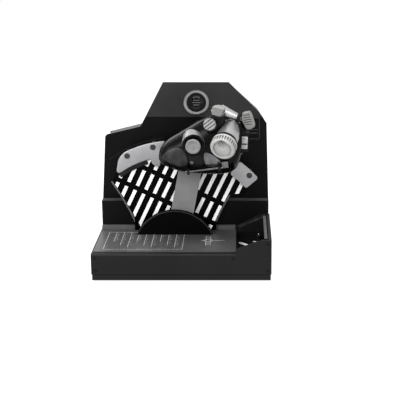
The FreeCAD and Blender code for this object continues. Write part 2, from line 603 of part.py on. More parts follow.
def outline_slab(name, inset, front, back):
    """The tower's front view as a slab between two depths, with its shoulder corners rounded."""
    b = body(name)
    sk = polygon(b, "XZ_Plane", tower_outline(inset), f"-({back})")
    pad = feature(b, "Pad", sk, f"({back}) - ({front})")
    spots = [(number(x), number(z)) for x, z in tower_outline(inset)[2:4]]
    dress(b, "Fillet", pad, lambda p: any(near(p.x, x) and near(p.z, z) for x, z in spots), "tower_corner")
    return b


def side_slab(name, corners):
    """A side view (Y, Z) stretched across the whole width."""
    b = body(name)
    sk = polygon(b, "YZ_Plane", corners, "-base_width / 2")
    feature(b, "Pad", sk, "base_width")
    return b


def lean_y(height, shift=0):
    """Depth of the leaning face, moved back by shift, at a height."""
    return f"{MID_FRONT} + {shift} + ({height} - bend_height) * tan(lean_angle)"


def tower_fascia():
    """Folded front sheet: low wall, ledge, middle wall and the leaning top."""
    s = "fascia_thick"
    sheet_side = side_slab("FasciaSide", [
        ("wall_front", f"{DECK} - 1"), ("wall_front", "ledge_height"), (MID_FRONT, "ledge_height"),
        (MID_FRONT, "bend_height"), (TOP_FRONT, "tower_height"),
        (f"{TOP_FRONT} + {s}", "tower_height"), (f"{MID_FRONT} + {s}", "bend_height"),
        (f"{MID_FRONT} + {s}", f"ledge_height - {s}"), (f"wall_front + {s}", f"ledge_height - {s}"),
        (f"wall_front + {s}", f"{DECK} - 1")])
    face = outline_slab("FasciaFront", "0", "wall_front - 1", f"{BACK}")
    sheet = common("FasciaBlank", sheet_side, face)
    opening = cylinder("DialOpening", "bezel_neck + fit_gap", "20", "dial_x", DIAL_Y, "dial_height",
                       ((ABOUT_X, "90 - lean_angle"), (ABOUT_Z, 0)))
    opening.setExpression("Placement", ex(
        f"placement(vector(dial_x; {DIAL_Y}; dial_height); rotation(vector(1; 0; 0); 90 - lean_angle))"
        " * placement(vector(0; 0; -10); rotation(vector(0; 0; 1); 0))"))
    part("tower_fascia", cut("TowerFascia", sheet, opening))


def tower_housing():
    """Moulded housing behind the fascia, open at the back."""
    s, w = "fascia_thick", "(fascia_thick + housing_wall)"
    top = "(tower_height - housing_inset)"
    back = "(tower_back - cover_plate)"
    outer_side = side_slab("HousingSide", [
        (f"wall_front + {s}", DECK), (f"wall_front + {s}", f"ledge_height - {s}"),
        (f"{MID_FRONT} + {s}", f"ledge_height - {s}"), (f"{MID_FRONT} + {s}", "bend_height"),
        (lean_y(top, s), top), (back, top), (back, DECK)])
    outer = common("HousingOuter", outer_side,
                   outline_slab("HousingFront", "housing_inset", "wall_front", "tower_back"))
    in_top = f"({top} - housing_wall)"
    inner_side = side_slab("HousingInnerSide", [
        (f"wall_front + {w}", f"{DECK} + housing_wall"), (f"wall_front + {w}", f"ledge_height - {w}"),
        (f"{MID_FRONT} + {w}", f"ledge_height - {w}"), (f"{MID_FRONT} + {w}", "bend_height"),
        (lean_y(in_top, w), in_top), ("tower_back + 1", in_top), ("tower_back + 1", f"{DECK} + housing_wall")])
    inner = common("HousingInner", inner_side,
                   outline_slab("HousingInnerFront", "housing_inset + housing_wall", "wall_front",
                                "tower_back + 2"))
    hollow = cut("HousingHollow", outer, inner)
    opening = cylinder("DialHousingOpening", "nut_radius + 1.2", "14")
    opening.setExpression("Placement", ex(
        f"placement(vector(dial_x; {DIAL_Y}; dial_height); rotation(vector(1; 0; 0); 90 - lean_angle))"
        " * placement(vector(0; 0; -12); rotation(vector(0; 0; 1); 0))"))
    part("tower_housing", cut("TowerHousing", hollow, opening))


def back_screw_spots():
    foot_x, foot_z = "(tower_foot_x - back_screw_foot_inset)", f"{DECK} + back_screw_foot_rise"
    side_x = "(tower_shoulder_x - back_screw_side_inset)"
    side_z = "tower_shoulder_height - back_screw_side_drop"
    top_z = "tower_height - back_screw_top_drop"
    return [(f"-{foot_x}", foot_z), (foot_x, foot_z), (f"-{side_x}", side_z), (side_x, side_z),
            ("-tower_top_left + back_screw_top_inset", top_z),
            ("tower_top_right - back_screw_top_inset", top_z)]


def tower_back_cover():
    b = body("BackCoverBody")
    sk = polygon(b, "XZ_Plane", tower_outline("housing_inset"), "-tower_back")
    feature(b, "Pad", sk, "cover_plate")
    behind = "-tower_back - 1"
    holes = [(x, z, "screw_radius + screw_clearance") for x, z in back_screw_spots()]
    feature(b, "Pocket", circles(b, "XZ_Plane", holes, behind), "cover_plate + 2", reverse=True)
    for i in range(8):
        z = f"vent_bottom + {i} * vent_pitch"
        slot = rectangle(b, "XZ_Plane", "-vent_half_width", z, "vent_half_width", f"{z} + vent_height",
                         behind)
        feature(b, "Pocket", slot, "cover_plate + 2", reverse=True)
    side, low = "(inlet_width / 2 + port_gap)", f"{DECK} + inlet_rise - port_gap"
    port = rectangle(b, "XZ_Plane", f"-{side}", low, side, f"{low} + inlet_height + 2 * port_gap", behind)
    feature(b, "Pocket", port, "cover_plate + 2", reverse=True)
    part("tower_back_cover", b)


def back_screws():
    screws = []
    for i, (x, z) in enumerate(back_screw_spots()):
        screws.append(cap_screw(f"BackScrew{i}", "screw_radius", "screw_head_radius",
                                "screw_head_height", "back_screw_length", x, "tower_back", z, (ABOUT_X, -90)))
    part("back_screws", group("BackScrews", *screws))


def electronics():
    """Main board on four posts, with the data socket at the back cover."""
    board_y = "(tower_back - cover_plate - board_depth)"
    back = "(tower_back - cover_plate)"
    plate = box("MainBoardPlate", "-board_half_width", board_y, f"{DECK} + board_rise",
                "2 * board_half_width", "board_thick", "board_height")
    chips = [box(f"Chip{i}", x, f"{board_y} - chip_thick", z, "chip_size", "chip_thick", "chip_size")
             for i, (x, z) in enumerate((("-2 * chip_size", f"{DECK} + board_rise + chip_size"),
                                         ("0.5 * chip_size", f"{DECK} + board_rise + 2 * chip_size")))]
    part("main_board", fuse("MainBoard", plate, *chips))
    spots = [(f"{side}board_post_x", z) for z in ("board_post_low", "board_post_high") for side in ("-", "")]
    posts = [cylinder(f"BoardPost{i}", "board_post_radius", f"{back} - {board_y} - board_thick", x, back, z,
                      TO_VIEWER) for i, (x, z) in enumerate(spots)]
    part("board_posts", group("BoardPosts", *posts))
    shell = box("InletShell", "-inlet_width / 2", f"{board_y} + board_thick", f"{DECK} + inlet_rise",
                "inlet_width", f"tower_back - {board_y} - board_thick - inlet_wall", "inlet_height")
    mouth = box("InletMouth", "inlet_wall - inlet_width / 2", "tower_back - inlet_mouth_depth",
                f"{DECK} + inlet_rise + inlet_wall", "inlet_width - 2 * inlet_wall",
                "inlet_mouth_depth + 1", "inlet_height - 2 * inlet_wall")
    part("data_inlet", cut("DataInlet", shell, mouth))


# ---------------------------------------------------------------- round push button
def on_dial(obj, along):
    """Place an object on the button's axis; its Z points out of the leaning face."""
    obj.setExpression("Placement", ex(
        f"placement(vector(dial_x; {DIAL_Y}; dial_height); rotation(vector(1; 0; 0); 90 - lean_angle))"
        f" * placement(vector(0; 0; {along}); rotation(vector(0; 0; 1); 0))"))
    return obj


def push_button():
    ring = turned("ButtonBezelBody", [
        ("bezel_bore", "-bezel_depth"), ("bezel_neck", "-bezel_depth"), ("bezel_neck", 0),
        ("bezel_radius", 0), ("bezel_radius", "bezel_proud - 0.9"), ("bezel_radius - 1.2", "bezel_proud"),
        ("bezel_bore + 0.9", "bezel_proud"), ("bezel_bore", "bezel_proud - 0.9")])
    part("button_bezel", on_dial(ring, 0))
    cap = turned("ButtonCapBody", [
        (0, "button_proud - button_thick - 3"), (3, "button_proud - button_thick - 3"),
        (3, "button_proud - button_thick"), ("bezel_bore - button_gap", "button_proud - button_thick"),
        ("bezel_bore - button_gap", "button_proud - 0.6"), ("bezel_bore - button_gap - 0.6", "button_proud"),
        ("bezel_bore - 4", "button_proud"), ("bezel_bore - 5.5", "button_proud - 0.5"),
        (0, "button_proud - 0.7")])
    part("button_cap", on_dial(cap, 0))
    nut = turned("BezelNutBody", [
        ("bezel_neck", 0), ("nut_radius", 0), ("nut_radius", "nut_thick"), ("bezel_neck", "nut_thick")])
    part("bezel_nut", on_dial(nut, "-fascia_thick * cos(lean_angle) - nut_thick"))
    block = box("SwitchBlock", 0, 0, 0, "switch_size", "switch_size", "switch_height")
    block.setExpression("Placement", ex(
        f"placement(vector(dial_x; {DIAL_Y}; dial_height); rotation(vector(1; 0; 0); 90 - lean_angle))"
        " * placement(vector(-switch_size / 2; -switch_size / 2;"
        " button_proud - button_thick - 3 - button_travel - 0.3 - switch_height);"
        " rotation(vector(0; 0; 1); 0))"))
    plate = on_dial(cylinder("SwitchPlate", "bezel_neck", "2"),
                    "-bezel_depth - 2")
    part("button_switch", cut("ButtonSwitch", fuse("SwitchBlank", plate, block),
                              on_dial(cylinder("SwitchRelief", "3.4", "4"),
                                      "button_proud - button_thick - 3 - button_travel - 0.3")))


# ---------------------------------------------------------------- quadrant plate and guards
def rel(x, z):
    """A sketch point given from the pivot."""
    return (f"pivot_x + {x}", f"pivot_z + {z}")


def plate_outline(inset):
    i = f"({inset})"
    arc = [(f"(plate_radius - {i}) * cos({a})", f"(plate_radius - {i}) * sin({a})")
           for a in (46, 62, 78, 94, 110, 122)]
    right = [
        (f"plate_foot_inner + {i}", "plate_foot_z"), (f"plate_foot_x - {i}", "plate_foot_z"),
        (f"plate_foot_x - {i}", "plate_ankle_z"), (f"plate_knee_x - {i}", "plate_knee_z"),
        (f"plate_hip_x - {i}", f"plate_hip_z + 0.5 * {i}"),
        (f"plate_wing_x - 0.5 * {i}", f"plate_wing_z + {i}"),
        (f"plate_horn_x - {i}", f"plate_horn_z + 0.6 * {i}"),
        (f"plate_tip_x - {i}", f"plate_tip_z - 0.5 * {i}")]
    left = [
        (f"-plate_brow_x + {i}", f"plate_brow_z - 0.5 * {i}"),
        (f"-plate_cheek_x + {i}", f"plate_cheek_z + 0.3 * {i}"),
        (f"-plate_hip_x + {i}", f"plate_hip_z + 0.5 * {i}"), (f"-plate_knee_x + {i}", "plate_knee_z"),
        (f"-plate_foot_x + {i}", "plate_ankle_z"), (f"-plate_foot_x + {i}", "plate_foot_z"),
        (f"-plate_foot_inner - {i}", "plate_foot_z")]
    return [rel(x, z) for x, z in right + arc + left]


def quadrant_plate():
    back = "(plate_front + plate_thick)"
    b = body("QuadrantBody")
    pad = feature(b, "Pad", polygon(b, "XZ_Plane", plate_outline("0"), f"-{back}"), "plate_thick")
    arch = circles(b, "XZ_Plane", [rel("0", "-arch_drop") + ("arch_radius",)], "-plate_front + 1")
    feature(b, "Pocket", arch, "", through=True)
    doc.recompute()
    base = b.Tip
    front = number("plate_front")
    px, pz = number("pivot_x"), number("pivot_z")
    legs = [(sx * number(x), number(z)) for sx in (-1, 1)
            for x, z in (("plate_foot_x", "plate_ankle_z"), ("plate_knee_x", "plate_knee_z"),
                         ("plate_hip_x", "plate_hip_z"))]
    legs.append((-number("plate_cheek_x"), number("plate_cheek_z")))

    def on_leg(p):
        if not near(p.y, front):
            return False
        for a, c in ((0, 1), (1, 2), (3, 4), (4, 5), (2, 6)):
            (x0, z0), (x1, z1) = legs[a], legs[c]
            dx, dz = x1 - x0, z1 - z0
            along = ((p.x - px - x0) * dx + (p.z - pz - z0) * dz) / (dx * dx + dz * dz)
            off = abs((p.x - px - x0) * dz - (p.z - pz - z0) * dx) / math.hypot(dx, dz)
            if off < 0.02 and -0.01 < along < 1.01:
                return True
        return False

    dress(b, "Chamfer", base, on_leg, "plate_bevel")
    fielding = body("StripeField")
    feature(fielding, "Pad", polygon(fielding, "XZ_Plane", plate_outline("stripe_rim"),
                                     "-(plate_front + stripe_depth)"), "stripe_depth")
    keep_out = circles(fielding, "XZ_Plane", [rel("0", "-arch_drop") + ("arch_radius + stripe_rim",)],
                       "-plate_front + 1")
    feature(fielding, "Pocket", keep_out, "", through=True)
    bars = []
    rows = ((-2, "stripe_row_at - stripe_row", "stripe_row - stripe_gap"),
            (0, "stripe_row_at", "stripe_row - stripe_gap"),
            (1, "stripe_row_at + stripe_row + stripe_top_extra",
             "stripe_row - stripe_gap + 2 * stripe_top_extra"))
    for row, (_, middle, length) in enumerate(rows):
        for k in range(-9, 10):
            bar = bind(doc.addObject("Part::Box", f"Stripe{row}_{k + 9}"), Length="stripe_width",
                       Width="plate_thick", Height=length)
            along, across = f"({middle} - ({length}) / 2)", f"(stripe_phase + {k} * stripe_pitch)"
            x = f"pivot_x + {across} * cos(stripe_angle) + {along} * sin(stripe_angle)"
            z = f"pivot_z - {across} * sin(stripe_angle) + {along} * cos(stripe_angle)"
            bar.setExpression("Placement", ex(
                f"placement(vector({x}; plate_front - 1; {z}); rotation(vector(0; 1; 0); stripe_angle))"
                " * placement(vector(-stripe_width / 2; 0; 0); rotation(vector(0; 0; 1); 0))"))
            bars.append(bar)
    inlays = common("StripeInlays", fielding, fuse("StripeBars", *bars))
    part("stripe_inlays", inlays)
    part("quadrant_plate", cut("QuadrantPlate", b, inlays))


def arc_plate(name, r_in, r_out, front, thick, start, end):
    """Arc-shaped plate about the pivot, between two angles."""
    place = (f"{front} + {thick}", ((ABOUT_X, 90), (ABOUT_Z, start)))
    outer = cylinder(name + "Outer", r_out, thick, "pivot_x", place[0], "pivot_z", place[1],
                     f"({end}) - ({start})")
    inner = cylinder(name + "Inner", r_in, f"{thick} + 2", "pivot_x", f"{place[0]} + 1", "pivot_z",
                     TO_VIEWER)
    return cut(name, outer, inner)


def rounded_plate(name, plate, corners):
    """Round the corners of a flat plate: (polar angle, radius, fillet) triples about the pivot."""
    doc.recompute()
    f = doc.addObject("Part::Fillet", name)
    f.Base = plate
    wanted = []
    for i, e in enumerate(plate.Shape.Edges, 1):
        ends = [v.Point for v in e.Vertexes]
        if len(ends) != 2 or not (near(ends[0].x, ends[1].x) and near(ends[0].z, ends[1].z)):
            continue
        dx, dz = ends[0].x - number("pivot_x"), ends[0].z - number("pivot_z")
        for angle, radius, size in corners:
            if near(math.hypot(dx, dz), number(radius), 0.2) and \
                    near(math.degrees(math.atan2(dz, dx)), number(angle), 0.3):
                wanted.append((i, number(size), number(size)))
    f.Edges = wanted
    return f


def guard_screw_place(angle):
    return (f"pivot_x + guard_screw_ring * cos({angle})", f"pivot_z + guard_screw_ring * sin({angle})")


def guards():
    back = "(guard_front + guard_thick)"
    ring = ("guard_inner", "guard_outer", "guard_front", "guard_thick")
    left = arc_plate("GuardLeftArc", *ring, "guard_left_start", "guard_left_end")
    tab = body("GuardTab")
    corners = [rel("-31", "guard_inner - 8"), rel("-29.5", "guard_inner - 12"),
               rel("-24.5", "guard_inner - 17"), rel("-19", "guard_inner - 17"),
               rel("-17", "guard_inner + 2"), rel("-31", "guard_inner + 2")]
    feature(tab, "Pad", polygon(tab, "XZ_Plane", corners, f"-{back}"), "guard_thick")
    left = rounded_plate("GuardLeftRound", left, [
        ("guard_left_end", "guard_outer", "guard_tip_corner"),
        ("guard_left_end", "guard_inner", "guard_corner")])
    left = fuse("GuardLeftBlank", left, tab)
    right = arc_plate("GuardRightArc", *ring, "guard_right_start", "guard_right_end")
    right = rounded_plate("GuardRightRound", right, [
        (angle, radius, "guard_corner") for angle in ("guard_right_start", "guard_right_end")
        for radius in ("guard_outer", "guard_inner")])
    screws, posts = [], []
    for i, angle in enumerate(("guard_screw_1", "guard_screw_2", "guard_screw_3")):
        x, z = guard_screw_place(angle)
        screws.append(cap_screw(f"GuardScrew{i}", "screw_radius + 0.5", "guard_head_radius",
                                "guard_head_height", "10", x, "guard_front", z, (ABOUT_X, 90)))
        post = cylinder(f"GuardPost{i}", "post_radius", f"{MID_FRONT} - {back}", x, MID_FRONT, z, TO_VIEWER)
        bore = cylinder(f"GuardPostBore{i}", "screw_radius + 0.5", "9", x, f"{back} + 8", z, TO_VIEWER)
        posts.append(cut(f"GuardPostTube{i}", post, bore))
    part("guard_screws", group("GuardScrews", *screws))
    part("guard_posts", group("GuardPosts", *posts))

    def drilled(name, plate, angles):
        holes = []
        for i, angle in enumerate(angles):
            x, z = guard_screw_place(angle)
            holes.append(cylinder(f"{name}Hole{i}", "screw_radius + 0.5 + fit_gap", "guard_thick + 2", x,
                                  f"{back} + 1", z, TO_VIEWER))
        return cut(name, plate, fuse(name + "Holes", *holes) if len(holes) > 1 else holes[0])

    part("guard_plate_left", drilled("GuardPlateLeft", left, ("guard_screw_1", "guard_screw_2")))
    part("guard_plate_right", drilled("GuardPlateRight", right, ("guard_screw_3",)))
    strip = arc_plate("WearStripArc", "strip_inner", "guard_inner", "plate_front - strip_thick",
                      "strip_thick", "strip_start", "strip_end")
    part("wear_strip", strip)


# ---------------------------------------------------------------- pivot
def pivot():
    blocks, bearings = [], []
    for name, start in (("Front", "bearing_front"), ("Rear", "bearing_back")):
        low = box(f"Block{name}", "pivot_x - block_width / 2", start, FLOOR, "block_width",
                  "bearing_width", f"pivot_z + bearing_radius + block_cap - {FLOOR}")
        seat = cylinder(f"Seat{name}", "bearing_radius", "bearing_width + 2", "pivot_x",
                        f"{start} + bearing_width + 1", "pivot_z", TO_VIEWER)
        blocks.append(cut(f"BearingBlock{name}", low, seat))
        race = cylinder(f"Race{name}", "bearing_radius", "bearing_width", "pivot_x",
                        f"{start} + bearing_width", "pivot_z", TO_VIEWER)
        bore = cylinder(f"RaceBore{name}", "shaft_radius + running_gap", "bearing_width + 2", "pivot_x",
                        f"{start} + bearing_width + 1", "pivot_z", TO_VIEWER)
        bearings.append(cut(f"Bearing{name}", race, bore))
    part("bearing_blocks", group("BearingBlocks", *blocks))
    part("shaft_bearings", group("ShaftBearings", *bearings))
    board = box("SensorPlate", "pivot_x - 8", "bearing_front - 2 - magnet_length - sensor_gap - board_thick",
                FLOOR, "16", "board_thick", "22")
    part("sensor_board", board)


def lever_arm():
    b = body("LeverArm")
    half = "arm_width / 2"
    blade = polygon(b, "XZ_Plane", [
        ("-hub_radius", 0), ("hub_radius", 0), (half, "arm_waist"), (half, "arm_top"),
        (f"-{half}", "arm_top"), (f"-{half}", "arm_waist")], f"-{ARM_BACK}")
    pad = feature(b, "Pad", blade, "arm_thick")
    top = number("arm_top")
    dress(b, "Fillet", pad, lambda p: near(p.z, top) and near(abs(p.x), number(half)), 6)
    middle = "(arm_front + arm_thick / 2)"
    hub = circles(b, "XZ_Plane", [("0", "0", "hub_radius")], f"-({middle} + hub_length / 2)")
    feature(b, "Pad", hub, "hub_length")
    bore = circles(b, "XZ_Plane", [("0", "0", "shaft_radius")], f"-({middle} + hub_length)")
    feature(b, "Pocket", bore, "2 * hub_length", reverse=True)
    holes = circles(b, "XZ_Plane", [("0", z, "screw_radius + 0.5 + fit_gap") for z in grip_screw_spots()],
                    f"-({ARM_BACK} + 1)")
    feature(b, "Pocket", holes, "arm_thick + 2", reverse=True)
    sinks = circles(b, "XZ_Plane", [("0", z, "guard_head_radius + fit_gap") for z in grip_screw_spots()],
                    f"-({ARM_BACK} + 1)")
    feature(b, "Pocket", sinks, "1 + guard_head_height", reverse=True)
    b.setExpression("Placement", ex(
        "placement(vector(pivot_x; 0; pivot_z); rotation(vector(0; 1; 0); lever_lean))"))
    part("lever_arm", b)
    shaft_front = "(bearing_front - 2)"
    shaft = cylinder("PivotShaft", "shaft_radius", f"bearing_back + bearing_width + 2 - {shaft_front}", 0,
                     "bearing_back + bearing_width + 2", 0, TO_VIEWER, on="LeverArm")
    part("pivot_shaft", shaft)
    part("sensor_magnet", cylinder("SensorMagnet", "magnet_radius", "magnet_length", 0, shaft_front, 0,
                                   TO_VIEWER, on="LeverArm"))


def grip_screw_spots():
    return ("bracket_bottom + 6", "bracket_top - 6")


# ---------------------------------------------------------------- grip on the lever
def axis_place(obj, prefix, yaw="0", along="0", tilt=None, spin="0"):
    """Place an object on a control's axis; its Z points out towards the hand."""
    tilt = tilt or f"{prefix}_tilt"
    obj.setExpression("Placement", "LeverArm.Placement * " + ex(
        f"placement(vector({prefix}_x; {prefix}_y; {prefix}_z);"
        f" rotation(vector(0; 0; 1); {yaw}) * rotation(vector(1; 0; 0); {tilt})"
        f" * rotation(vector(0; 0; 1); {spin}))"
        f" * placement(vector(0; 0; {along}); rotation(vector(0; 0; 1); 0))"))
    return obj


def grip_blank():
    rings = []
    for section, *_ in GRIP_SECTIONS:
        ring = doc.addObject("Part::Ellipse", "Ring_" + section)
        bind(ring, MajorRadius=f"grip_{section}_half", MinorRadius=f"grip_{section}_deep")
        put(ring, f"grip_{section}_at", "grip_centre_y", f"grip_{section}_height", (ABOUT_Y, -90),
            on="LeverArm")
        rings.append(ring)
    loft = doc.addObject("Part::Loft", "GripLoft")
    loft.Sections = rings
    loft.Solid = True
    return loft


def lever_box(name, x, y, z, sx, sy, sz):
    b = bind(doc.addObject("Part::Box", name), Length=sx, Width=sy, Height=sz)
    return put(b, x, y, z, on="LeverArm")


def gimbal_stick(prefix, title, yaw, cap_radius, face, cap_profile):
    """A two-axis thumb stick: a ring on two pins, and inside it a stem on two pins."""
    ring = cylinder(title + "RingOuter", "gimbal_radius", "gimbal_height", 0, 0, "-gimbal_height / 2")
    pins = cylinder(title + "RingPins", "stick_pin", "2 * gimbal_well - 0.3", "0.15 - gimbal_well", 0, 0,
                    ((ABOUT_Y, 90),))
    solid = fuse(title + "RingBlank", ring, pins)
    bore = cylinder(title + "RingBore", "gimbal_bore", "gimbal_height + 2", 0, 0, "-gimbal_height / 2 - 1")
    gimbal = cut(title + "Gimbal", solid, bore)
    axis_place(gimbal, prefix, yaw)
    stem = cylinder(title + "Stem", "stick_stem", f"{face} + cap_clear + 1 + 2", 0, 0, "-2")
    cross = cylinder(title + "StemPins", "stick_pin", "2 * gimbal_bore - 0.3", 0, "gimbal_bore - 0.15", 0,
                     TO_VIEWER)
    cap = turned(title + "CapBody", cap_profile)
    stick = fuse(title + "Stick", stem, cross, cap)
    axis_place(stick, prefix, yaw)
    return gimbal, stick


def cursor_stick():
    low, high = "(cursor_face + cap_clear)", "(cursor_face + cap_clear + cap_thick)"
    r = "cursor_cap_radius"
    gimbal, stick = gimbal_stick("cursor", "Cursor", "0", r, "cursor_face", [
        (0, low), (f"{r} - 1.2", low), (r, f"{low} + 1.2"), (r, f"{high} - 1"), (f"{r} - 1", high),
        (f"{r} - 2.2", high), (f"{r} * 0.5", f"{high} - 0.9"), (0, f"{high} - 1.2")])
    part("cursor_gimbal", gimbal)
    part("cursor_cap", stick)
    pod = turned("CursorPodBody", [
        (0, "cursor_face - cursor_pod_length"), ("cursor_pod_back", "cursor_face - cursor_pod_length"),
        ("cursor_pod_front + 0.8", "cursor_face - 3.5"), ("cursor_pod_front + 0.6", "cursor_face - 2"),
        ("gimbal_well", "cursor_face - 2"), ("gimbal_well", "-5"), (0, "-5")])
    part("cursor_pod", axis_place(pod, "cursor"))
    ring = turned("CursorRingBody", [
        ("gimbal_bore + 2", "cursor_face - 2"), ("cursor_ring", "cursor_face - 2"),
        ("cursor_ring", "cursor_face"), ("cursor_ring - 1", "cursor_face + 0.5"),
        ("gimbal_bore + 2", "cursor_face - 0.6")])
    part("cursor_ring", axis_place(ring, "cursor"))
    env = cone("CursorSpace", "cursor_pod_back", "cursor_pod_front + 0.8", "cursor_pod_length - 3.5", 0, 0, 0,
               ())
    axis_place(env, "cursor", along="cursor_face - cursor_pod_length")
    front = cylinder("CursorSpaceFront", "cursor_pod_front + 0.8", "12")
    return fuse("CursorRoom", env, axis_place(front, "cursor", along="cursor_face - 3.5"))


def hat_switch():
    low, high = "(hat_face + cap_clear)", "(hat_face + cap_clear + cap_thick)"
    r = "hat_cap_radius"
    gimbal, stick = gimbal_stick("hat", "Hat", "hat_yaw", r, "hat_face", [
        (0, low), (f"{r} - 0.8", low), (r, f"{low} + 0.8"), (r, f"{high} - 0.8"), (f"{r} - 0.8", high),
        (0, high)])
    part("hat_gimbal", gimbal)
    slots = []
    for i in range(-1, 2):
        slot = bind(doc.addObject("Part::Box", f"HatGroove{i + 1}"), Length="hat_groove",
                    Width="2 * hat_cap_radius + 2", Height="cap_thick")
        slot.setExpression("Placement", "LeverArm.Placement * " + ex(
            "placement(vector(hat_x; hat_y; hat_z); rotation(vector(0; 0; 1); hat_yaw)"
            " * rotation(vector(1; 0; 0); hat_tilt))"
            f" * placement(vector(0; 0; {high} - hat_groove); rotation(vector(0; 0; 1); hat_groove_turn))"
            f" * placement(vector({i} * hat_groove_pitch - hat_groove / 2; -hat_cap_radius - 1; 0);"
            " rotation(vector(0; 0; 1); 0))"))
        slots.append(slot)
    part("hat_cap", cut("HatCap", stick, fuse("HatGrooves", *slots)))
    pod = turned("HatPodBody", [
        (0, "hat_face - hat_pod_length"), ("hat_pod_radius", "hat_face - hat_pod_length"),
        ("hat_pod_radius", "hat_face - 1"), ("hat_pod_radius - 1", "hat_face"), ("gimbal_well", "hat_face"),
        ("gimbal_well", "-5"), (0, "-5")])
    axis_place(pod, "hat", "hat_yaw")
    part("hat_pod", cut("HatPod", pod, doc.CrownRoom))
    env = cylinder("HatSpace", "hat_pod_radius", "hat_pod_length + 6")
    return axis_place(env, "hat", "hat_yaw", "hat_face - hat_pod_length")


def crown_knob():
    knob = turned("CrownBody", [
        (0, 0), ("crown_radius - 0.8", 0), ("crown_radius", 0.8), ("crown_radius", "crown_height * 0.62"),
        ("crown_radius - 0.9", "crown_height * 0.68"), ("crown_radius - 0.9", "crown_height - 0.8"),
        ("crown_radius - 1.7", "crown_height"), (0, "crown_height")])
    axis_place(knob, "crown", "crown_yaw")
    shaft = cylinder("CrownShaft", "crown_shaft", "10")
    axis_place(shaft, "crown", "crown_yaw", "-9")
    blade = bind(doc.addObject("Part::Box", "CrownFlat"), Length="3 * crown_radius", Width="crown_radius",
                 Height="2 * crown_height")
    blade.setExpression("Placement", "LeverArm.Placement * " + ex(
        "placement(vector(crown_x; crown_y; crown_z); rotation(vector(0; 0; 1); crown_yaw)"
        " * rotation(vector(1; 0; 0); crown_tilt))"
        " * placement(vector(0; -crown_flat_start; crown_height); rotation(vector(1; 0; 0); -crown_flat_slope))"
        " * placement(vector(-1.5 * crown_radius; -crown_radius; -1.5 * crown_height);"
        " rotation(vector(0; 0; 1); 0))"))
    part("crown_knob", cut("CrownKnob", fuse("CrownBlank", knob, shaft), blade))
    base = turned("CrownBaseBody", [
        ("crown_shaft + running_gap", "-crown_gap"), ("crown_shaft + running_gap", "-11"), (0, "-11"),
        (0, "-crown_base_length"), ("crown_base_radius", "-crown_base_length"),
        ("crown_base_radius", "-crown_gap")])
    part("crown_base", axis_place(base, "crown", "crown_yaw"))
    env = cylinder("CrownSpace", "crown_base_radius", "crown_base_length + 8")
    axis_place(env, "crown", "crown_yaw", "-crown_base_length")
    swing = cylinder("CrownSwing", "crown_radius + running_space", "crown_height + 4")
    axis_place(swing, "crown", "crown_yaw", "-crown_gap")
    return fuse("CrownRoom", env, swing)


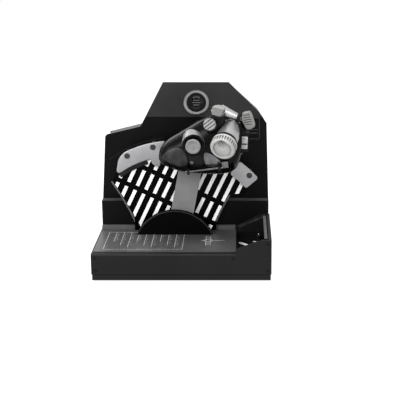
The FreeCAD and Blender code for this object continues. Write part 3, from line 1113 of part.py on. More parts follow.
def range_knob():
    """Large knurled knob that turns and is pushed in; it runs on a sliding sleeve in its pod."""
    pod = turned("RangePodBody", [
        (0, "-range_pod_length"), ("range_pod_tail - 4", "-range_pod_length"),
        ("range_pod_tail - 1", "-range_pod_length + 1.5"), ("range_pod_tail", "-range_pod_length + 5"),
        ("range_pod_mouth", "-13"), ("range_pod_mouth", "-gasket_thick"),
        ("carrier_radius + 0.05", "-gasket_thick"), ("carrier_radius + 0.05", "-carrier_length - 4"),
        (0, "-carrier_length - 4")])
    axis_place(pod, "range", "range_yaw")
    part("range_pod", cut("RangePod", pod, fuse("RangePodNeighbours", doc.CrownRoom, doc.PaddleRoom,
                                                doc.HatSpace, doc.SlideSpace)))
    seal = turned("RangeGasketBody", [
        ("carrier_radius + 1", "-gasket_thick"), ("gasket_radius", "-gasket_thick"),
        ("gasket_radius", "-0.5"), ("gasket_radius - 0.5", 0), ("carrier_radius + 1", 0)])
    part("range_gasket", axis_place(seal, "range", "range_yaw"))
    sleeve = turned("RangeSleeveBody", [
        ("range_shaft + 0.05", "-carrier_length"), ("carrier_radius", "-carrier_length"),
        ("carrier_radius", "range_gap - 0.3"), ("range_shaft + 0.05", "range_gap - 0.3")])
    part("range_carrier", axis_place(sleeve, "range", "range_yaw"))
    top = "(range_gap + range_thick)"
    r = "range_radius"
    knob = turned("RangeKnobBody", [
        (0, "-carrier_length + 1"), ("range_shaft", "-carrier_length + 1"), ("range_shaft", "range_gap"),
        (f"{r} - 1.5", "range_gap"), (r, "range_gap + 1.2"), (r, f"{top} - 3"), (f"{r} - 0.8", f"{top} - 1"),
        (f"{r} - 2.4", top), (f"{r} - 4.2", top), (f"{r} - 5.5", f"{top} - 1.2"), (0, f"{top} - 1.6")])
    axis_place(knob, "range", "range_yaw")
    cuts = []
    teeth = 30
    for i in range(teeth):
        notch = cylinder(f"Knurl{i}", "knurl_radius", "knurl_length + 2")
        notch.setExpression("Placement", "LeverArm.Placement * " + ex(
            "placement(vector(range_x; range_y; range_z); rotation(vector(0; 0; 1); range_yaw)"
            " * rotation(vector(1; 0; 0); range_tilt))"
            f" * placement(vector(range_radius * cos({i * 360 / teeth}) + 0.3 * cos({i * 360 / teeth});"
            f" range_radius * sin({i * 360 / teeth}) + 0.3 * sin({i * 360 / teeth}); {top} - knurl_length);"
            " rotation(vector(0; 0; 1); 0))"))
        cuts.append(notch)
    dimple = doc.addObject("Part::Sphere", "FingerDimple")
    bind(dimple, Radius="9")
    axis_place(dimple, "range", "range_yaw")
    dimple.setExpression("Placement", "LeverArm.Placement * " + ex(
        "placement(vector(range_x; range_y; range_z); rotation(vector(0; 0; 1); range_yaw)"
        " * rotation(vector(1; 0; 0); range_tilt))"
        f" * placement(vector(-1; range_radius * 0.42; {top} + 5.4); rotation(vector(0; 0; 1); 0))"))
    part("range_knob", cut("RangeKnob", knob, fuse("RangeCuts", dimple, *cuts)))
    env = cone("RangeSpace", "range_pod_tail", "range_pod_mouth", "range_pod_length - 13", 0, 0, 0, ())
    axis_place(env, "range", "range_yaw", "-range_pod_length")
    front = cylinder("RangeSpaceFront", "gasket_radius", "14")
    axis_place(front, "range", "range_yaw", "-13")
    return env, front


def paddle_frame(along, across="0", turn="0"):
    """Frame of the speed-brake paddle; its Z is the shaft axis, out of the grip to the right."""
    return "LeverArm.Placement * " + ex(
        "placement(vector(paddle_x; paddle_y; paddle_z); rotation(vector(0; 1; 0); paddle_dip))"
        f" * placement(vector({across}; 0; {along}); rotation(vector(0; 1; 0); {turn}))")


def speed_brake():
    pod = turned("PaddlePodBody", [
        (0, "-paddle_pod_length"), ("paddle_root_radius", "-paddle_pod_length"),
        ("paddle_arm_radius", "-paddle_flange"), ("paddle_pod_radius", "-paddle_flange"),
        ("paddle_pod_radius", "-0.6"), ("paddle_pod_radius - 0.6", 0), ("paddle_shaft + 0.05", 0),
        ("paddle_shaft + 0.05", "-10"), (0, "-10")])
    pod.setExpression("Placement", paddle_frame("0"))
    part("speed_brake_pod", cut("PaddlePod", pod, doc.CrownRoom))
    shaft = cylinder("PaddleShaft", "paddle_shaft", "9 + paddle_reach")
    shaft.setExpression("Placement", paddle_frame("-9"))
    block = body("PaddleBlock")
    half = "paddle_width / 2"
    sk = rectangle(block, "XZ_Plane", "-paddle_length / 2", f"-{half}", "paddle_length / 2", half,
                   "-paddle_thick / 2")
    pad = feature(block, "Pad", sk, "paddle_thick")
    front = number("-paddle_thick / 2")
    dress(block, "Fillet", pad, lambda p: near(p.y, front), 1.5)
    for i in range(-3, 4):
        groove = rectangle(block, "XZ_Plane", f"{i} * 2.8 - 0.6", "-paddle_width", f"{i} * 2.8 + 0.6",
                           "paddle_width", "paddle_thick / 2 + 1")
        feature(block, "Pocket", groove, "2")
    block.setExpression("Placement", paddle_frame("paddle_reach", "2", "paddle_turn"))
    part("speed_brake_paddle", fuse("SpeedBrakePaddle", shaft, block))
    env = cylinder("PaddleSpace", "paddle_root_radius", "paddle_pod_length + 3")
    env.setExpression("Placement", paddle_frame("-paddle_pod_length"))
    swing = bind(doc.addObject("Part::Box", "PaddleSwing"), Length="paddle_length + 4",
                 Width="paddle_thick + paddle_swing", Height="paddle_width + 3")
    swing.setExpression("Placement", "LeverArm.Placement * " + ex(
        "placement(vector(paddle_x; paddle_y; paddle_z); rotation(vector(0; 1; 0); paddle_dip))"
        " * placement(vector(2; 0; paddle_reach); rotation(vector(0; 1; 0); paddle_turn))"
        " * placement(vector(-paddle_length / 2 - 2; -(paddle_thick + paddle_swing) / 2;"
        " -paddle_width / 2 - 1.5); rotation(vector(0; 0; 1); 0))"))
    return fuse("PaddleRoom", env, swing)


def slide_place(obj, x, y, z):
    obj.setExpression("Placement", "LeverArm.Placement * " + ex(
        "placement(vector(slide_x; slide_y; slide_z); rotation(vector(0; 1; 0); slide_roll))"
        f" * placement(vector({x}; {y}; {z}); rotation(vector(0; 0; 1); 0))"))
    return obj


def slide_switch():
    base = bind(doc.addObject("Part::Box", "SlideBase"), Length="slide_base_width",
                Width="slide_base_depth", Height="slide_base_length")
    slide_place(base, "-slide_base_width / 2", "0.3", "-slide_base_length / 2")
    groove = bind(doc.addObject("Part::Box", "SlideGroove"), Length="4.2", Width="4",
                  Height="slide_base_length - 6")
    slide_place(groove, "-2.1", "-0.5", "-slide_base_length / 2 + 3")
    part("slide_base", cut("SlideHousing", base, groove))
    cap = body("SlideCapBody")
    half, tall = "slide_width / 2", "slide_length / 2"
    pad = feature(cap, "Pad", rectangle(cap, "XZ_Plane", f"-{half}", f"-{tall}", half, tall), "slide_thick")
    front = number("-slide_thick")
    dress(cap, "Fillet", pad, lambda p: near(p.y, front), 1.2)
    groove_line = rectangle(cap, "XZ_Plane", "-slide_width", "-3.6", "slide_width", "-2.2", "slide_thick + 1")
    feature(cap, "Pocket", groove_line, "2")
    slide_place(cap, 0, 0, 0)
    tongue = bind(doc.addObject("Part::Box", "SlideTongue"), Length="4", Width="3.2",
                  Height="slide_base_length - 6 - 2 * slide_travel - 0.6")
    slide_place(tongue, "-2", "-0.2", "-(slide_base_length - 6 - 2 * slide_travel - 0.6) / 2")
    part("slide_cap", fuse("SlideCap", cap, tongue))
    env = bind(doc.addObject("Part::Box", "SlideSpace"), Length="slide_base_width",
               Width="slide_base_depth + 12", Height="slide_base_length")
    return slide_place(env, "-slide_base_width / 2", "-11.7", "-slide_base_length / 2")


def lift_frame(along):
    """Frame of the finger lift; its Z runs along the rod, up to the right."""
    return "LeverArm.Placement * " + ex(
        "placement(vector(lift_x; lift_y; lift_z); rotation(vector(0; 1; 0); 90 - lift_slope))"
        f" * placement(vector(0; 0; {along}); rotation(vector(0; 0; 1); 0))")


def finger_lift():
    """Rod along the lower front of the grip with a thumb tab; turning it frees the detent."""
    rod = cylinder("LiftRod", "lift_radius", "lift_length")
    rod.setExpression("Placement", lift_frame("-lift_length / 2"))
    tab = bind(doc.addObject("Part::Box", "LiftTab"), Length="lift_tab_height", Width="lift_tab_thick",
               Height="lift_tab_width")
    tab.setExpression("Placement", "LeverArm.Placement * " + ex(
        "placement(vector(lift_x; lift_y; lift_z); rotation(vector(0; 1; 0); 90 - lift_slope))"
        " * placement(vector(-lift_tab_height; -lift_tab_thick / 2; lift_length / 2 - lift_tab_width);"
        " rotation(vector(0; 0; 1); 0))"))
    part("finger_lift", fuse("FingerLift", rod, tab))
    room = cylinder("LiftRodRoom", "lift_radius + running_space", "lift_length + 2")
    room.setExpression("Placement", lift_frame("-lift_length / 2 - 1"))
    sweep = bind(doc.addObject("Part::Box", "LiftTabRoom"), Length="lift_tab_height + 1",
                 Width="lift_tab_thick + 5", Height="lift_tab_width + 1")
    sweep.setExpression("Placement", "LeverArm.Placement * " + ex(
        "placement(vector(lift_x; lift_y; lift_z); rotation(vector(0; 1; 0); 90 - lift_slope))"
        " * placement(vector(-lift_tab_height - 1; -lift_tab_thick / 2 - 2.5;"
        " lift_length / 2 - lift_tab_width - 0.5); rotation(vector(0; 0; 1); 0))"))
    ears = []
    for i, along in enumerate(("-lift_length / 2 + ear_inset", "lift_length / 2 - lift_tab_width - ear_inset")):
        ear = bind(doc.addObject("Part::Box", f"LiftEar{i}"), Length="7", Width="20", Height="ear_thick")
        ear.setExpression("Placement", "LeverArm.Placement * " + ex(
            "placement(vector(lift_x; lift_y; lift_z); rotation(vector(0; 1; 0); 90 - lift_slope))"
            f" * placement(vector(-3.5; -3.2; {along} - ear_thick / 2); rotation(vector(0; 0; 1); 0))"))
        bore = cylinder(f"LiftEarBore{i}", "lift_radius + running_gap", "ear_thick + 2")
        bore.setExpression("Placement", lift_frame(f"{along} - ear_thick / 2 - 1"))
        ears.append(cut(f"LiftEarCut{i}", ear, bore))
    return ears, fuse("LiftRoom", room, sweep)


def grip():
    loft = grip_blank()
    spaces = [crown_knob(), cursor_stick(), hat_switch(), speed_brake(), slide_switch(), *range_knob()]
    bracket = lever_box("GripBracketBlank", "-bracket_width / 2", "bracket_front", "bracket_bottom",
                        "bracket_width", "arm_front - bracket_front", "bracket_top - bracket_bottom")
    bores = []
    for i, z in enumerate(grip_screw_spots()):
        bores.append(cylinder(f"BracketBore{i}", "screw_radius + 0.5", "arm_front - bracket_front + 2", 0,
                              "arm_front + 1", z, TO_VIEWER, on="LeverArm"))
    part("grip_bracket", cut("GripBracket", bracket, fuse("BracketBores", *bores)))
    screws = []
    for i, z in enumerate(grip_screw_spots()):
        screws.append(cap_screw(f"GripScrew{i}", "screw_radius + 0.5", "guard_head_radius",
                                "guard_head_height", f"{ARM_BACK} - guard_head_height - bracket_front",
                                0, f"{ARM_BACK} - guard_head_height", z, (ABOUT_X, -90), on="LeverArm"))
    part("grip_screws", group("GripScrews", *screws))
    ears, lift_room = finger_lift()
    far = "grip_face_right"
    face_plate = lever_box("FacePlateRegion", f"-2 * {far}", "grip_split_y - 80", "60", f"3 * {far}", "80",
                           "grip_face_top - 60")
    cleared = cut("GripCleared", loft, fuse("GripSpaces", *spaces, bracket, lift_room))
    part("lift_ears", cut("LiftEars", group("LiftEarPair", *ears), loft))
    part("grip_front", common("GripFrontPlate", cleared, face_plate))
    part("grip_back", cut("GripPalm", cleared, face_plate))


for build in (base_tray, rubber_feet, tray_screws, base_shell, front_screws, bay_liner, bay_bars,
              rotary_control, legend_panel, hub_cover, foot_rail, tower_fascia, tower_housing,
              tower_back_cover, back_screws, electronics, push_button, quadrant_plate, guards, pivot,
              lever_arm, grip):
    build()
doc.recompute()


# ---------------------------------------------------------------- checks and export
def main():
    for obj in doc.Objects:
        if "Invalid" in obj.State or "Error" in obj.State:
            raise RuntimeError(f"{obj.Name} ({obj.Label}) failed: {obj.State}")
    for label, obj in PARTS.items():
        if obj.Shape.isNull() or not obj.Shape.isValid() or not obj.Shape.Solids:
            raise RuntimeError(f"{label} has no valid solid")
    os.makedirs("parts", exist_ok=True)
    for label, obj in PARTS.items():
        obj.Shape.exportStep(f"parts/{label}.step")
    print(len(PARTS), "sub-parts written")


main()
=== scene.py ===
"""Looks of the throttle quadrant: a finish for every part, printed marks and small trim.

Metres, +Z up, +X to the right, +Y away from the user, origin on the desk under the middle of the base.
"""
import json
import math

import bpy
from mathutils import Matrix, Vector


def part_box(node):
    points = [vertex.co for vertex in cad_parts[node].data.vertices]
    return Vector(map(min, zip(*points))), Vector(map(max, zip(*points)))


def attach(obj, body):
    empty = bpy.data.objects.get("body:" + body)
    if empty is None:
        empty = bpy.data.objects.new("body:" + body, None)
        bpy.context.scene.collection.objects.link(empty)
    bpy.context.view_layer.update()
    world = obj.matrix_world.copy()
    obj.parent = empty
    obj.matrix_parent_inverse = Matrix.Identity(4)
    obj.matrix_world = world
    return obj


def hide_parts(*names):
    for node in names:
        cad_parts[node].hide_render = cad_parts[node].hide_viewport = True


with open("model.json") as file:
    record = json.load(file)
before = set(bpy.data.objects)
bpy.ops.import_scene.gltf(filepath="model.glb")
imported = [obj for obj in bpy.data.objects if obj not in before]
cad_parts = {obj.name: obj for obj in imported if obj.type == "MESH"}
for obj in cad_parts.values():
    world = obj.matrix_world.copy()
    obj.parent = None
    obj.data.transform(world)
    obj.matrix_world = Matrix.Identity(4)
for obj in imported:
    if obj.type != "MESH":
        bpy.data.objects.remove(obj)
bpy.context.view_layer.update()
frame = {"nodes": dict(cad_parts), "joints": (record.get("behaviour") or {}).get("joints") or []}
scene = bpy.context.scene
NODES = frame["nodes"]
JOINTS = {joint["name"]: joint for joint in frame["joints"]}
MM = 0.001
RIGHT, BACK, UP = Vector((1, 0, 0)), Vector((0, 1, 0)), Vector((0, 0, 1))
FULL_TURN = 2 * math.pi
NUDGE = 0.02 * MM          # print sits this far into the face that carries it
PRINT_HEIGHT = 0.06 * MM   # thickness of a layer of screen ink
WELD = 1e-6                # points of a spun mesh closer than this, in metres, become one
SHARP = 50                 # edges that turn more than this many degrees are rounded off
SMOOTH = 35                # faces that meet at less than this many degrees are shaded as one

# What all finishes share. Most of a noise texture's values lie between the first two.
NOISE_FROM, NOISE_TO = 0.3, 0.7
FINE_DETAIL, SLOW_DETAIL = 3.0, 4.0
TOP_LIGHT_RISE = 0.3               # painted light begins on faces whose normal rises this much
TOP_LIGHT_COVER = 0.65             # how much of its own tone the painted light brings to a level face
SLANT, SLANT_BAND = -0.7, 0.15   # a slanted front edge: Y of its normal, give or take
RUB_FROM, RUB_TO = 0.99, 0.8     # how sharp an edge is where it begins to be rubbed, and is most rubbed
RUB_MOST = 0.8
SKY_SAMPLES, EDGE_SAMPLES = 8, 4


# ---------------------------------------------------------------- materials: helpers
def srgb(text, alpha=1.0):
    """Linear colour of an sRGB hex value such as "#8a8a88"."""
    channels = [int(text[i:i + 2], 16) / 255 for i in (1, 3, 5)]
    return [c / 12.92 if c <= 0.04045 else ((c + 0.055) / 1.055) ** 2.4 for c in channels] + [alpha]


def add(tree, kind, inputs=None, **settings):
    """Add one shader node. An input takes a plain value or the output socket that feeds it."""
    made = tree.nodes.new(kind)
    for name, value in settings.items():
        setattr(made, name, value)
    for socket, value in (inputs or {}).items():
        if isinstance(value, bpy.types.NodeSocket):
            tree.links.new(value, made.inputs[socket])
        else:
            made.inputs[socket].default_value = value
    return made


def finish(name, low, high, rough, grain, depth, cloud, edge=0.25, worn=None, top_light=None, hollow_shade=None,
           slant_highlight=None, stretch=(1, 1, 1), hollow=1.6, shelter=(0.85, 0.4), **sockets):
    """A skin of two close tones, low and high. Sizes are in mm: grain and cloud are the widths of the
    fine bumps and of the slow blotches, depth is how deep the grain is, edge is the radius that sharp
    edges show. rough is the range of roughness, worn the tone of rubbed edges, top_light the tone
    painted as light on faces that look up, slant_highlight the tone of a highlight painted on front
    edges cut at a slant, and stretch draws the grain out. hollow_shade is the tone of shade painted at
    the bottom of grooves about as wide as hollow, and shelter says how closed in a spot is where the
    painted shade begins and where it is full. The other values go to the shader's own sockets."""
    mat = bpy.data.materials.new(name)
    mat.use_nodes = True
    tree = mat.node_tree
    shader = tree.nodes["Principled BSDF"]
    for socket, value in sockets.items():
        shader.inputs[socket.replace("_", " ")].default_value = value
    place = add(tree, "ShaderNodeTexCoord").outputs["Object"]
    drawn = add(tree, "ShaderNodeMapping", {"Vector": place, "Scale": stretch}).outputs["Vector"]
    fine = add(tree, "ShaderNodeTexNoise", {"Vector": drawn, "Scale": 1 / (grain * MM),
                                             "Detail": FINE_DETAIL})
    slow = add(tree, "ShaderNodeTexNoise", {"Vector": place, "Scale": 1 / (cloud * MM),
                                             "Detail": SLOW_DETAIL})
    blotch = add(tree, "ShaderNodeMapRange", {"Value": slow.outputs["Fac"], "From Min": NOISE_FROM,
                                              "From Max": NOISE_TO})
    tone = add(tree, "ShaderNodeMix", {"Factor": blotch.outputs["Result"], "A": srgb(low), "B": srgb(high)},
               data_type="RGBA").outputs["Result"]
    gloss = add(tree, "ShaderNodeMapRange", {"Value": fine.outputs["Fac"], "From Min": NOISE_FROM,
                                             "From Max": NOISE_TO, "To Min": rough[0],
                                             "To Max": rough[1]})
    tree.links.new(gloss.outputs["Result"], shader.inputs["Roughness"])
    # Painted light: faces that look up are made paler, as if lit from above.
    if top_light:
        facing = add(tree, "ShaderNodeSeparateXYZ", {0: add(tree, "ShaderNodeTexCoord").outputs["Normal"]})
        level = add(tree, "ShaderNodeMapRange", {"Value": facing.outputs["Z"],
                                                 "From Min": TOP_LIGHT_RISE})
        even = add(tree, "ShaderNodeMath", {0: level.outputs["Result"], 1: blotch.outputs["Result"],
                                            2: level.outputs["Result"]},
                   operation="MULTIPLY_ADD", use_clamp=True)
        share = add(tree, "ShaderNodeMath", {0: even.outputs["Value"], 1: TOP_LIGHT_COVER},
                    operation="MULTIPLY")
        tone = add(tree, "ShaderNodeMix", {"Factor": share.outputs["Value"], "A": tone, "B": srgb(top_light)},
                   data_type="RGBA").outputs["Result"]
    # Painted highlight: front edges cut at a slant get a lighter tone, as thin lines of light.
    if slant_highlight:
        facing = add(tree, "ShaderNodeSeparateXYZ", {0: add(tree, "ShaderNodeTexCoord").outputs["Normal"]})
        slant = add(tree, "ShaderNodeMath", {0: facing.outputs["Y"], 1: SLANT, 2: SLANT_BAND},
                    operation="COMPARE")
        tone = add(tree, "ShaderNodeMix", {"Factor": slant.outputs["Value"], "A": tone, "B": srgb(slant_highlight)},
                   data_type="RGBA").outputs["Result"]
    # Painted shade: spots in grooves and hollows that the sky hardly reaches are made darker.
    if hollow_shade:
        open_sky = add(tree, "ShaderNodeAmbientOcclusion", {"Distance": hollow * MM},
                       samples=SKY_SAMPLES, only_local=True)
        packed = add(tree, "ShaderNodeMapRange", {"Value": open_sky.outputs["AO"], "From Min": shelter[0],
                                                  "From Max": shelter[1]})
        tone = add(tree, "ShaderNodeMix", {"Factor": packed.outputs["Result"], "A": tone, "B": srgb(hollow_shade)},
                   data_type="RGBA").outputs["Result"]
    soft = add(tree, "ShaderNodeBevel", {"Radius": edge * MM}, samples=EDGE_SAMPLES).outputs["Normal"]
    if worn:
        flat = add(tree, "ShaderNodeNewGeometry").outputs["Normal"]
        match = add(tree, "ShaderNodeVectorMath", {0: soft, 1: flat}, operation="DOT_PRODUCT")
        rub = add(tree, "ShaderNodeMapRange", {"Value": match.outputs["Value"], "From Min": RUB_FROM,
                                               "From Max": RUB_TO, "To Max": RUB_MOST})
        patchy = add(tree, "ShaderNodeMath", {0: rub.outputs["Result"], 1: slow.outputs["Fac"]},
                     operation="MULTIPLY")
        tone = add(tree, "ShaderNodeMix", {"Factor": patchy.outputs["Value"], "A": tone, "B": srgb(worn)},
                   data_type="RGBA").outputs["Result"]
    tree.links.new(tone, shader.inputs["Base Color"])
    bump = add(tree, "ShaderNodeBump", {"Height": fine.outputs["Fac"], "Strength": 1.0,
                                        "Distance": depth * MM, "Normal": soft})
    tree.links.new(bump.outputs["Normal"], shader.inputs["Normal"])
    return mat


# ---------------------------------------------------------------- materials: the real finishes
# Powder coat on folded sheet steel: satin black with the faint orange peel of baked powder.
powder_coat = finish("powder_coated_steel", "#0b0b0c", "#121213", (0.42, 0.52), 0.9, 0.012, 70, 0.4,
                     worn="#3a3a3b", IOR=1.5, Specular_IOR_Level=0.16)
# The tower front, folded from the same sheet but finer, painted blacker than the base's coat as shade, and
# painted paler as light where it looks up.
tower_coat = finish("powder_coated_tower", "#050506", "#0a0a0b", (0.42, 0.52), 0.9, 0.012, 70, 0.4,
                    worn="#333334", top_light="#4d4d4f", IOR=1.5, Specular_IOR_Level=0.07)
# The same powder on the plain rear housing, thinner and glossier, so its top faces catch the light; its
# tones and rubbed edges are painted lighter than the base's as the rim highlight along its top.
rear_coat = finish("powder_coated_housing", "#131315", "#1b1b1d", (0.3, 0.38), 0.9, 0.01, 70, 0.4,
                   worn="#4a4a4b", IOR=1.5, Specular_IOR_Level=0.3)
# Screen-printed polycarbonate sheet: grey, velvet-textured, glances light at a low angle.
overlay = finish("textured_polycarbonate", "#39393a", "#454546", (0.34, 0.42), 0.35, 0.006, 40, 0.2,
                 IOR=1.58, Specular_IOR_Level=0.6)
# White screen ink on the sheet: thin, slightly broken by the texture under it.
ink = finish("screen_ink", "#8d8d8d", "#d0d0ce", (0.5, 0.6), 0.5, 0.004, 3, 0.02, IOR=1.5)
# Dim ink of the wall label and the push button.
dim_ink = finish("dim_screen_ink", "#323233", "#4c4c4d", (0.5, 0.6), 0.5, 0.004, 3, 0.02, IOR=1.5)
# Cast acrylic face plate: deep gloss black, with its slanted front edges painted lighter as thin lines of
# highlight.
acrylic = finish("cast_acrylic", "#010101", "#030303", (0.2, 0.28), 1.5, 0.003, 60, 0.6,
                 slant_highlight="#6e6e6e", IOR=1.49, Specular_IOR_Level=0.03)
# White acrylic strips let into the plate: flat and bright.
white_inlay = finish("white_acrylic_inlay", "#fafaf8", "#ffffff", (0.4, 0.5), 1.2, 0.002, 20, 0.1, IOR=1.49)
# Bead-blasted aluminium: even light grey with a fine sparkle and no direction.
blasted = finish("bead_blasted_aluminium", "#8b8b8d", "#9b9b9c", (0.48, 0.6), 0.35, 0.012, 25, 0.35,
                 worn="#d0d0d0", Metallic=1.0)
# Stoved grey enamel on the arm: smooth, slightly mottled.
enamel = finish("stoved_enamel", "#707071", "#7d7d7e", (0.35, 0.45), 0.8, 0.006, 30, 0.4,
                worn="#9a9a9a", IOR=1.5, Specular_IOR_Level=0.3)
# Polished black phenolic of the hand grip: wet-looking, with handling marks in the gloss.
phenolic = finish("polished_phenolic", "#020202", "#050506", (0.12, 0.2), 4.0, 0.004, 22, 0.6,
                  IOR=1.55, Specular_IOR_Level=0.07)
# Face half of the grip, same moulding, rubbed greyer by the fingers.
phenolic_face = finish("rubbed_phenolic", "#030303", "#070708", (0.16, 0.24), 3.0, 0.005, 14, 0.6,
                       IOR=1.55, Specular_IOR_Level=0.07)
# Satin panel let into the grip where the thumb rests: dark grey, its lighter blotches and pale rim painted
# as the reflection on the grip's glossy lower lobe. The pale stroke on the slope of the bay's web has the
# same skin, as a painted highlight.
satin_panel = finish("satin_thumb_panel", "#1c1c1d", "#39393a", (0.26, 0.36), 2.0, 0.008, 9, 0.5,
                     worn="#8a8a8a", IOR=1.5, Specular_IOR_Level=0.16)
# Brushed grey metal of the finger lift, of the panel under the dial and of the screw beside it: mid
# grey with a soft shine.
brushed = finish("brushed_grey_metal", "#4e4e4f", "#6e6e6f", (0.26, 0.4), 0.4, 0.008, 7, 0.3,
                 worn="#b4b4b4", stretch=(0.15, 1, 1), Metallic=1.0)
# Blued steel of the wear strip, slightly oily, its dark tone painted as the shade under the guard's inner
# edge.
blued_shade = finish("blued_shade_steel", "#1b1b1c", "#2b2b2c", (0.3, 0.42), 0.4, 0.006, 10, 0.3, Metallic=1.0)
# Satin silver lacquer over moulded pods: pale grey with a soft metallic roll-off, with shade painted in its
# hollows.
lacquer = finish("silver_lacquer", "#a4a4a5", "#b4b4b5", (0.28, 0.37), 0.5, 0.004, 12, 0.4,
                 worn="#d8d8d8", hollow_shade="#1e1e1f", Metallic=0.85)
# Light grey moulded ABS of the knobs: matte, fine spark-eroded grain, paler on ridges, with shade painted in
# its grooves.
knob_abs = finish("moulded_grey_abs", "#a3a3a1", "#b6b6b4", (0.42, 0.55), 0.4, 0.015, 9, 0.35,
                  worn="#dcdcda", hollow_shade="#4a4a49", IOR=1.53)
# The same grey ABS on the dished dial, with painted shade darkening the dish and the roots of its knurl.
dished_abs = finish("dished_grey_abs", "#a3a3a1", "#b6b6b4", (0.36, 0.5), 0.4, 0.015, 9, 0.35,
                    worn="#dcdcda", hollow_shade="#5a5a59", hollow=8.0, shelter=(0.985, 0.86), IOR=1.53)
# Grey ABS of the crown: painted darker than the other knobs as the hand's shade, with light painted on the
# faces that look up, rubbed edges, and shade painted in its hollows.
crown_abs = finish("rubbed_lit_shaded_crown_abs", "#323231", "#3e3e3d", (0.34, 0.46), 0.4, 0.015, 6, 0.35,
                   worn="#a8a8a6", top_light="#a2a2a0", hollow_shade="#1c1c1b", IOR=1.53)
# Darker grey moulded ABS of the paddle and of the caps that fingertips push, with shade painted in its
# grooves.
cap_abs = finish("moulded_mid_grey_abs", "#6a6a69", "#80807f", (0.38, 0.5), 0.4, 0.015, 6, 0.35,
                 worn="#b4b4b2", hollow_shade="#3a3a39", IOR=1.53)
# Black moulded ABS of covers, housings and bases: fine grain, low shine.
black_abs = finish("moulded_black_abs", "#060606", "#0c0c0c", (0.4, 0.52), 0.5, 0.012, 30, 0.3,
                   worn="#2a2a2b", IOR=1.53, Specular_IOR_Level=0.14)
# Matt black ABS of the pivot cover: hardly any shine, so it reads as a hole, with its slanted front rim
# painted lighter as a thin highlight.
matt_abs = finish("matt_black_abs", "#010101", "#030303", (0.6, 0.75), 0.5, 0.012, 30, 0.3,
                  slant_highlight="#2e2e2f", IOR=1.53, Specular_IOR_Level=0.03)
# Grey anodised bezel of the push button: even mid grey, satin.
anodised = finish("grey_anodised_aluminium", "#5d5d5e", "#6c6c6d", (0.35, 0.45), 0.4, 0.006, 20, 0.3,
                  worn="#a0a0a0", Metallic=0.9)
# Flat, even pale grey on the foot rail and the top of the bay's wall: a painted highlight that keeps both
# pale in the shade of the tower.
pale_highlight = finish("grey_pale_highlight", "#484849", "#575758", (0.5, 0.6), 0.6, 0.008, 25, 0.3, IOR=1.5,
                Specular_IOR_Level=0.3)
# Nitrile rubber: dull black that swallows light, also for the front screws, which only show as dark
#  dots, and for the dark arc on the wall, a painted shadow of the left guard.
rubber = finish("nitrile_rubber", "#080808", "#0f0f0f", (0.7, 0.85), 0.6, 0.02, 15, 0.3, IOR=1.52,
                Specular_IOR_Level=0.2)
# Black oxide on alloy screws: near black with a thin oily shine.
oxide = finish("black_oxide_steel", "#0a0a0a", "#161616", (0.3, 0.4), 0.5, 0.006, 2, 0.15,
               worn="#4c4c4c", IOR=1.5)
# Ground and turned steel: bright, with lines round the axis drawn out along X.
steel = finish("ground_steel", "#8f8f91", "#a2a2a3", (0.2, 0.34), 0.25, 0.004, 8, 0.15,
               stretch=(0.1, 1, 1), Metallic=1.0)
# Machined aluminium, satin with a slight feed pattern.
machined = finish("machined_aluminium", "#98989a", "#a9a9aa", (0.28, 0.42), 0.3, 0.006, 10, 0.2,
                  stretch=(1, 1, 0.15), worn="#dcdcdc", Metallic=1.0)
# Natural acetal: cool off-white plastic of sliding and gimbal parts.
acetal = finish("acetal", "#c9c8c2", "#d8d7d1", (0.4, 0.5), 0.8, 0.006, 8, 0.2, IOR=1.48)
# Glass-epoxy circuit board under green solder mask, with the weave just showing.
epoxy = finish("epoxy_circuit_board", "#0e3a22", "#13472b", (0.3, 0.4), 0.7, 0.01, 5, 0.1, IOR=1.55)
# Matt black lens of the push button.
button_face = finish("satin_button_lens", "#040404", "#080808", (0.3, 0.4), 0.6, 0.004, 10, 0.4, IOR=1.5,
                     Specular_IOR_Level=0.07)

NODE_FINISH = {
    "base_shell": powder_coat, "base_tray": powder_coat, "tower_fascia": tower_coat,
    "tower_housing": rear_coat, "tower_back_cover": rear_coat, "foot_rail": pale_highlight,
    "hub_cover": matt_abs, "bay_liner": black_abs, "bay_bars": white_inlay, "rubber_feet": rubber,
    "legend_panel": overlay, "quadrant_plate": acrylic, "stripe_inlays": white_inlay,
    "guard_plate_left": blasted, "guard_plate_right": blasted, "guard_posts": machined,
    "guard_screws": oxide, "tray_screws": oxide, "front_screws": rubber, "back_screws": oxide,
    "grip_screws": machined, "wear_strip": blued_shade, "lever_arm": enamel,
    "pivot_shaft": steel, "shaft_bearings": steel, "bearing_blocks": machined, "sensor_magnet": steel,
    "sensor_board": epoxy, "main_board": epoxy, "board_posts": machined, "data_inlet": steel,
    "rotary_knob": black_abs, "rotary_encoder": machined,
    "button_bezel": anodised, "bezel_nut": black_abs, "button_cap": button_face, "button_switch": black_abs,
    "grip_back": phenolic, "grip_front": phenolic_face, "grip_bracket": machined,
    "cursor_pod": lacquer, "cursor_ring": phenolic_face, "cursor_gimbal": acetal, "cursor_cap": cap_abs,
    "hat_pod": black_abs, "hat_gimbal": acetal, "hat_cap": cap_abs,
    "crown_base": black_abs, "crown_knob": crown_abs,
    "range_pod": lacquer, "range_gasket": rubber, "range_carrier": acetal, "range_knob": dished_abs,
    "speed_brake_pod": lacquer, "speed_brake_paddle": knob_abs,
    "slide_base": black_abs, "slide_cap": knob_abs, "finger_lift": brushed, "lift_ears": black_abs,
}
for name, coat in NODE_FINISH.items():
    NODES[name].data.materials.clear()
    NODES[name].data.materials.append(coat)


# ---------------------------------------------------------------- modelling helpers
def picked(*objects):
    """Select just these objects and make the first one active."""
    bpy.ops.object.select_all(action="DESELECT")
    for obj in objects:
        obj.select_set(True)
    bpy.context.view_layer.objects.active = objects[0]


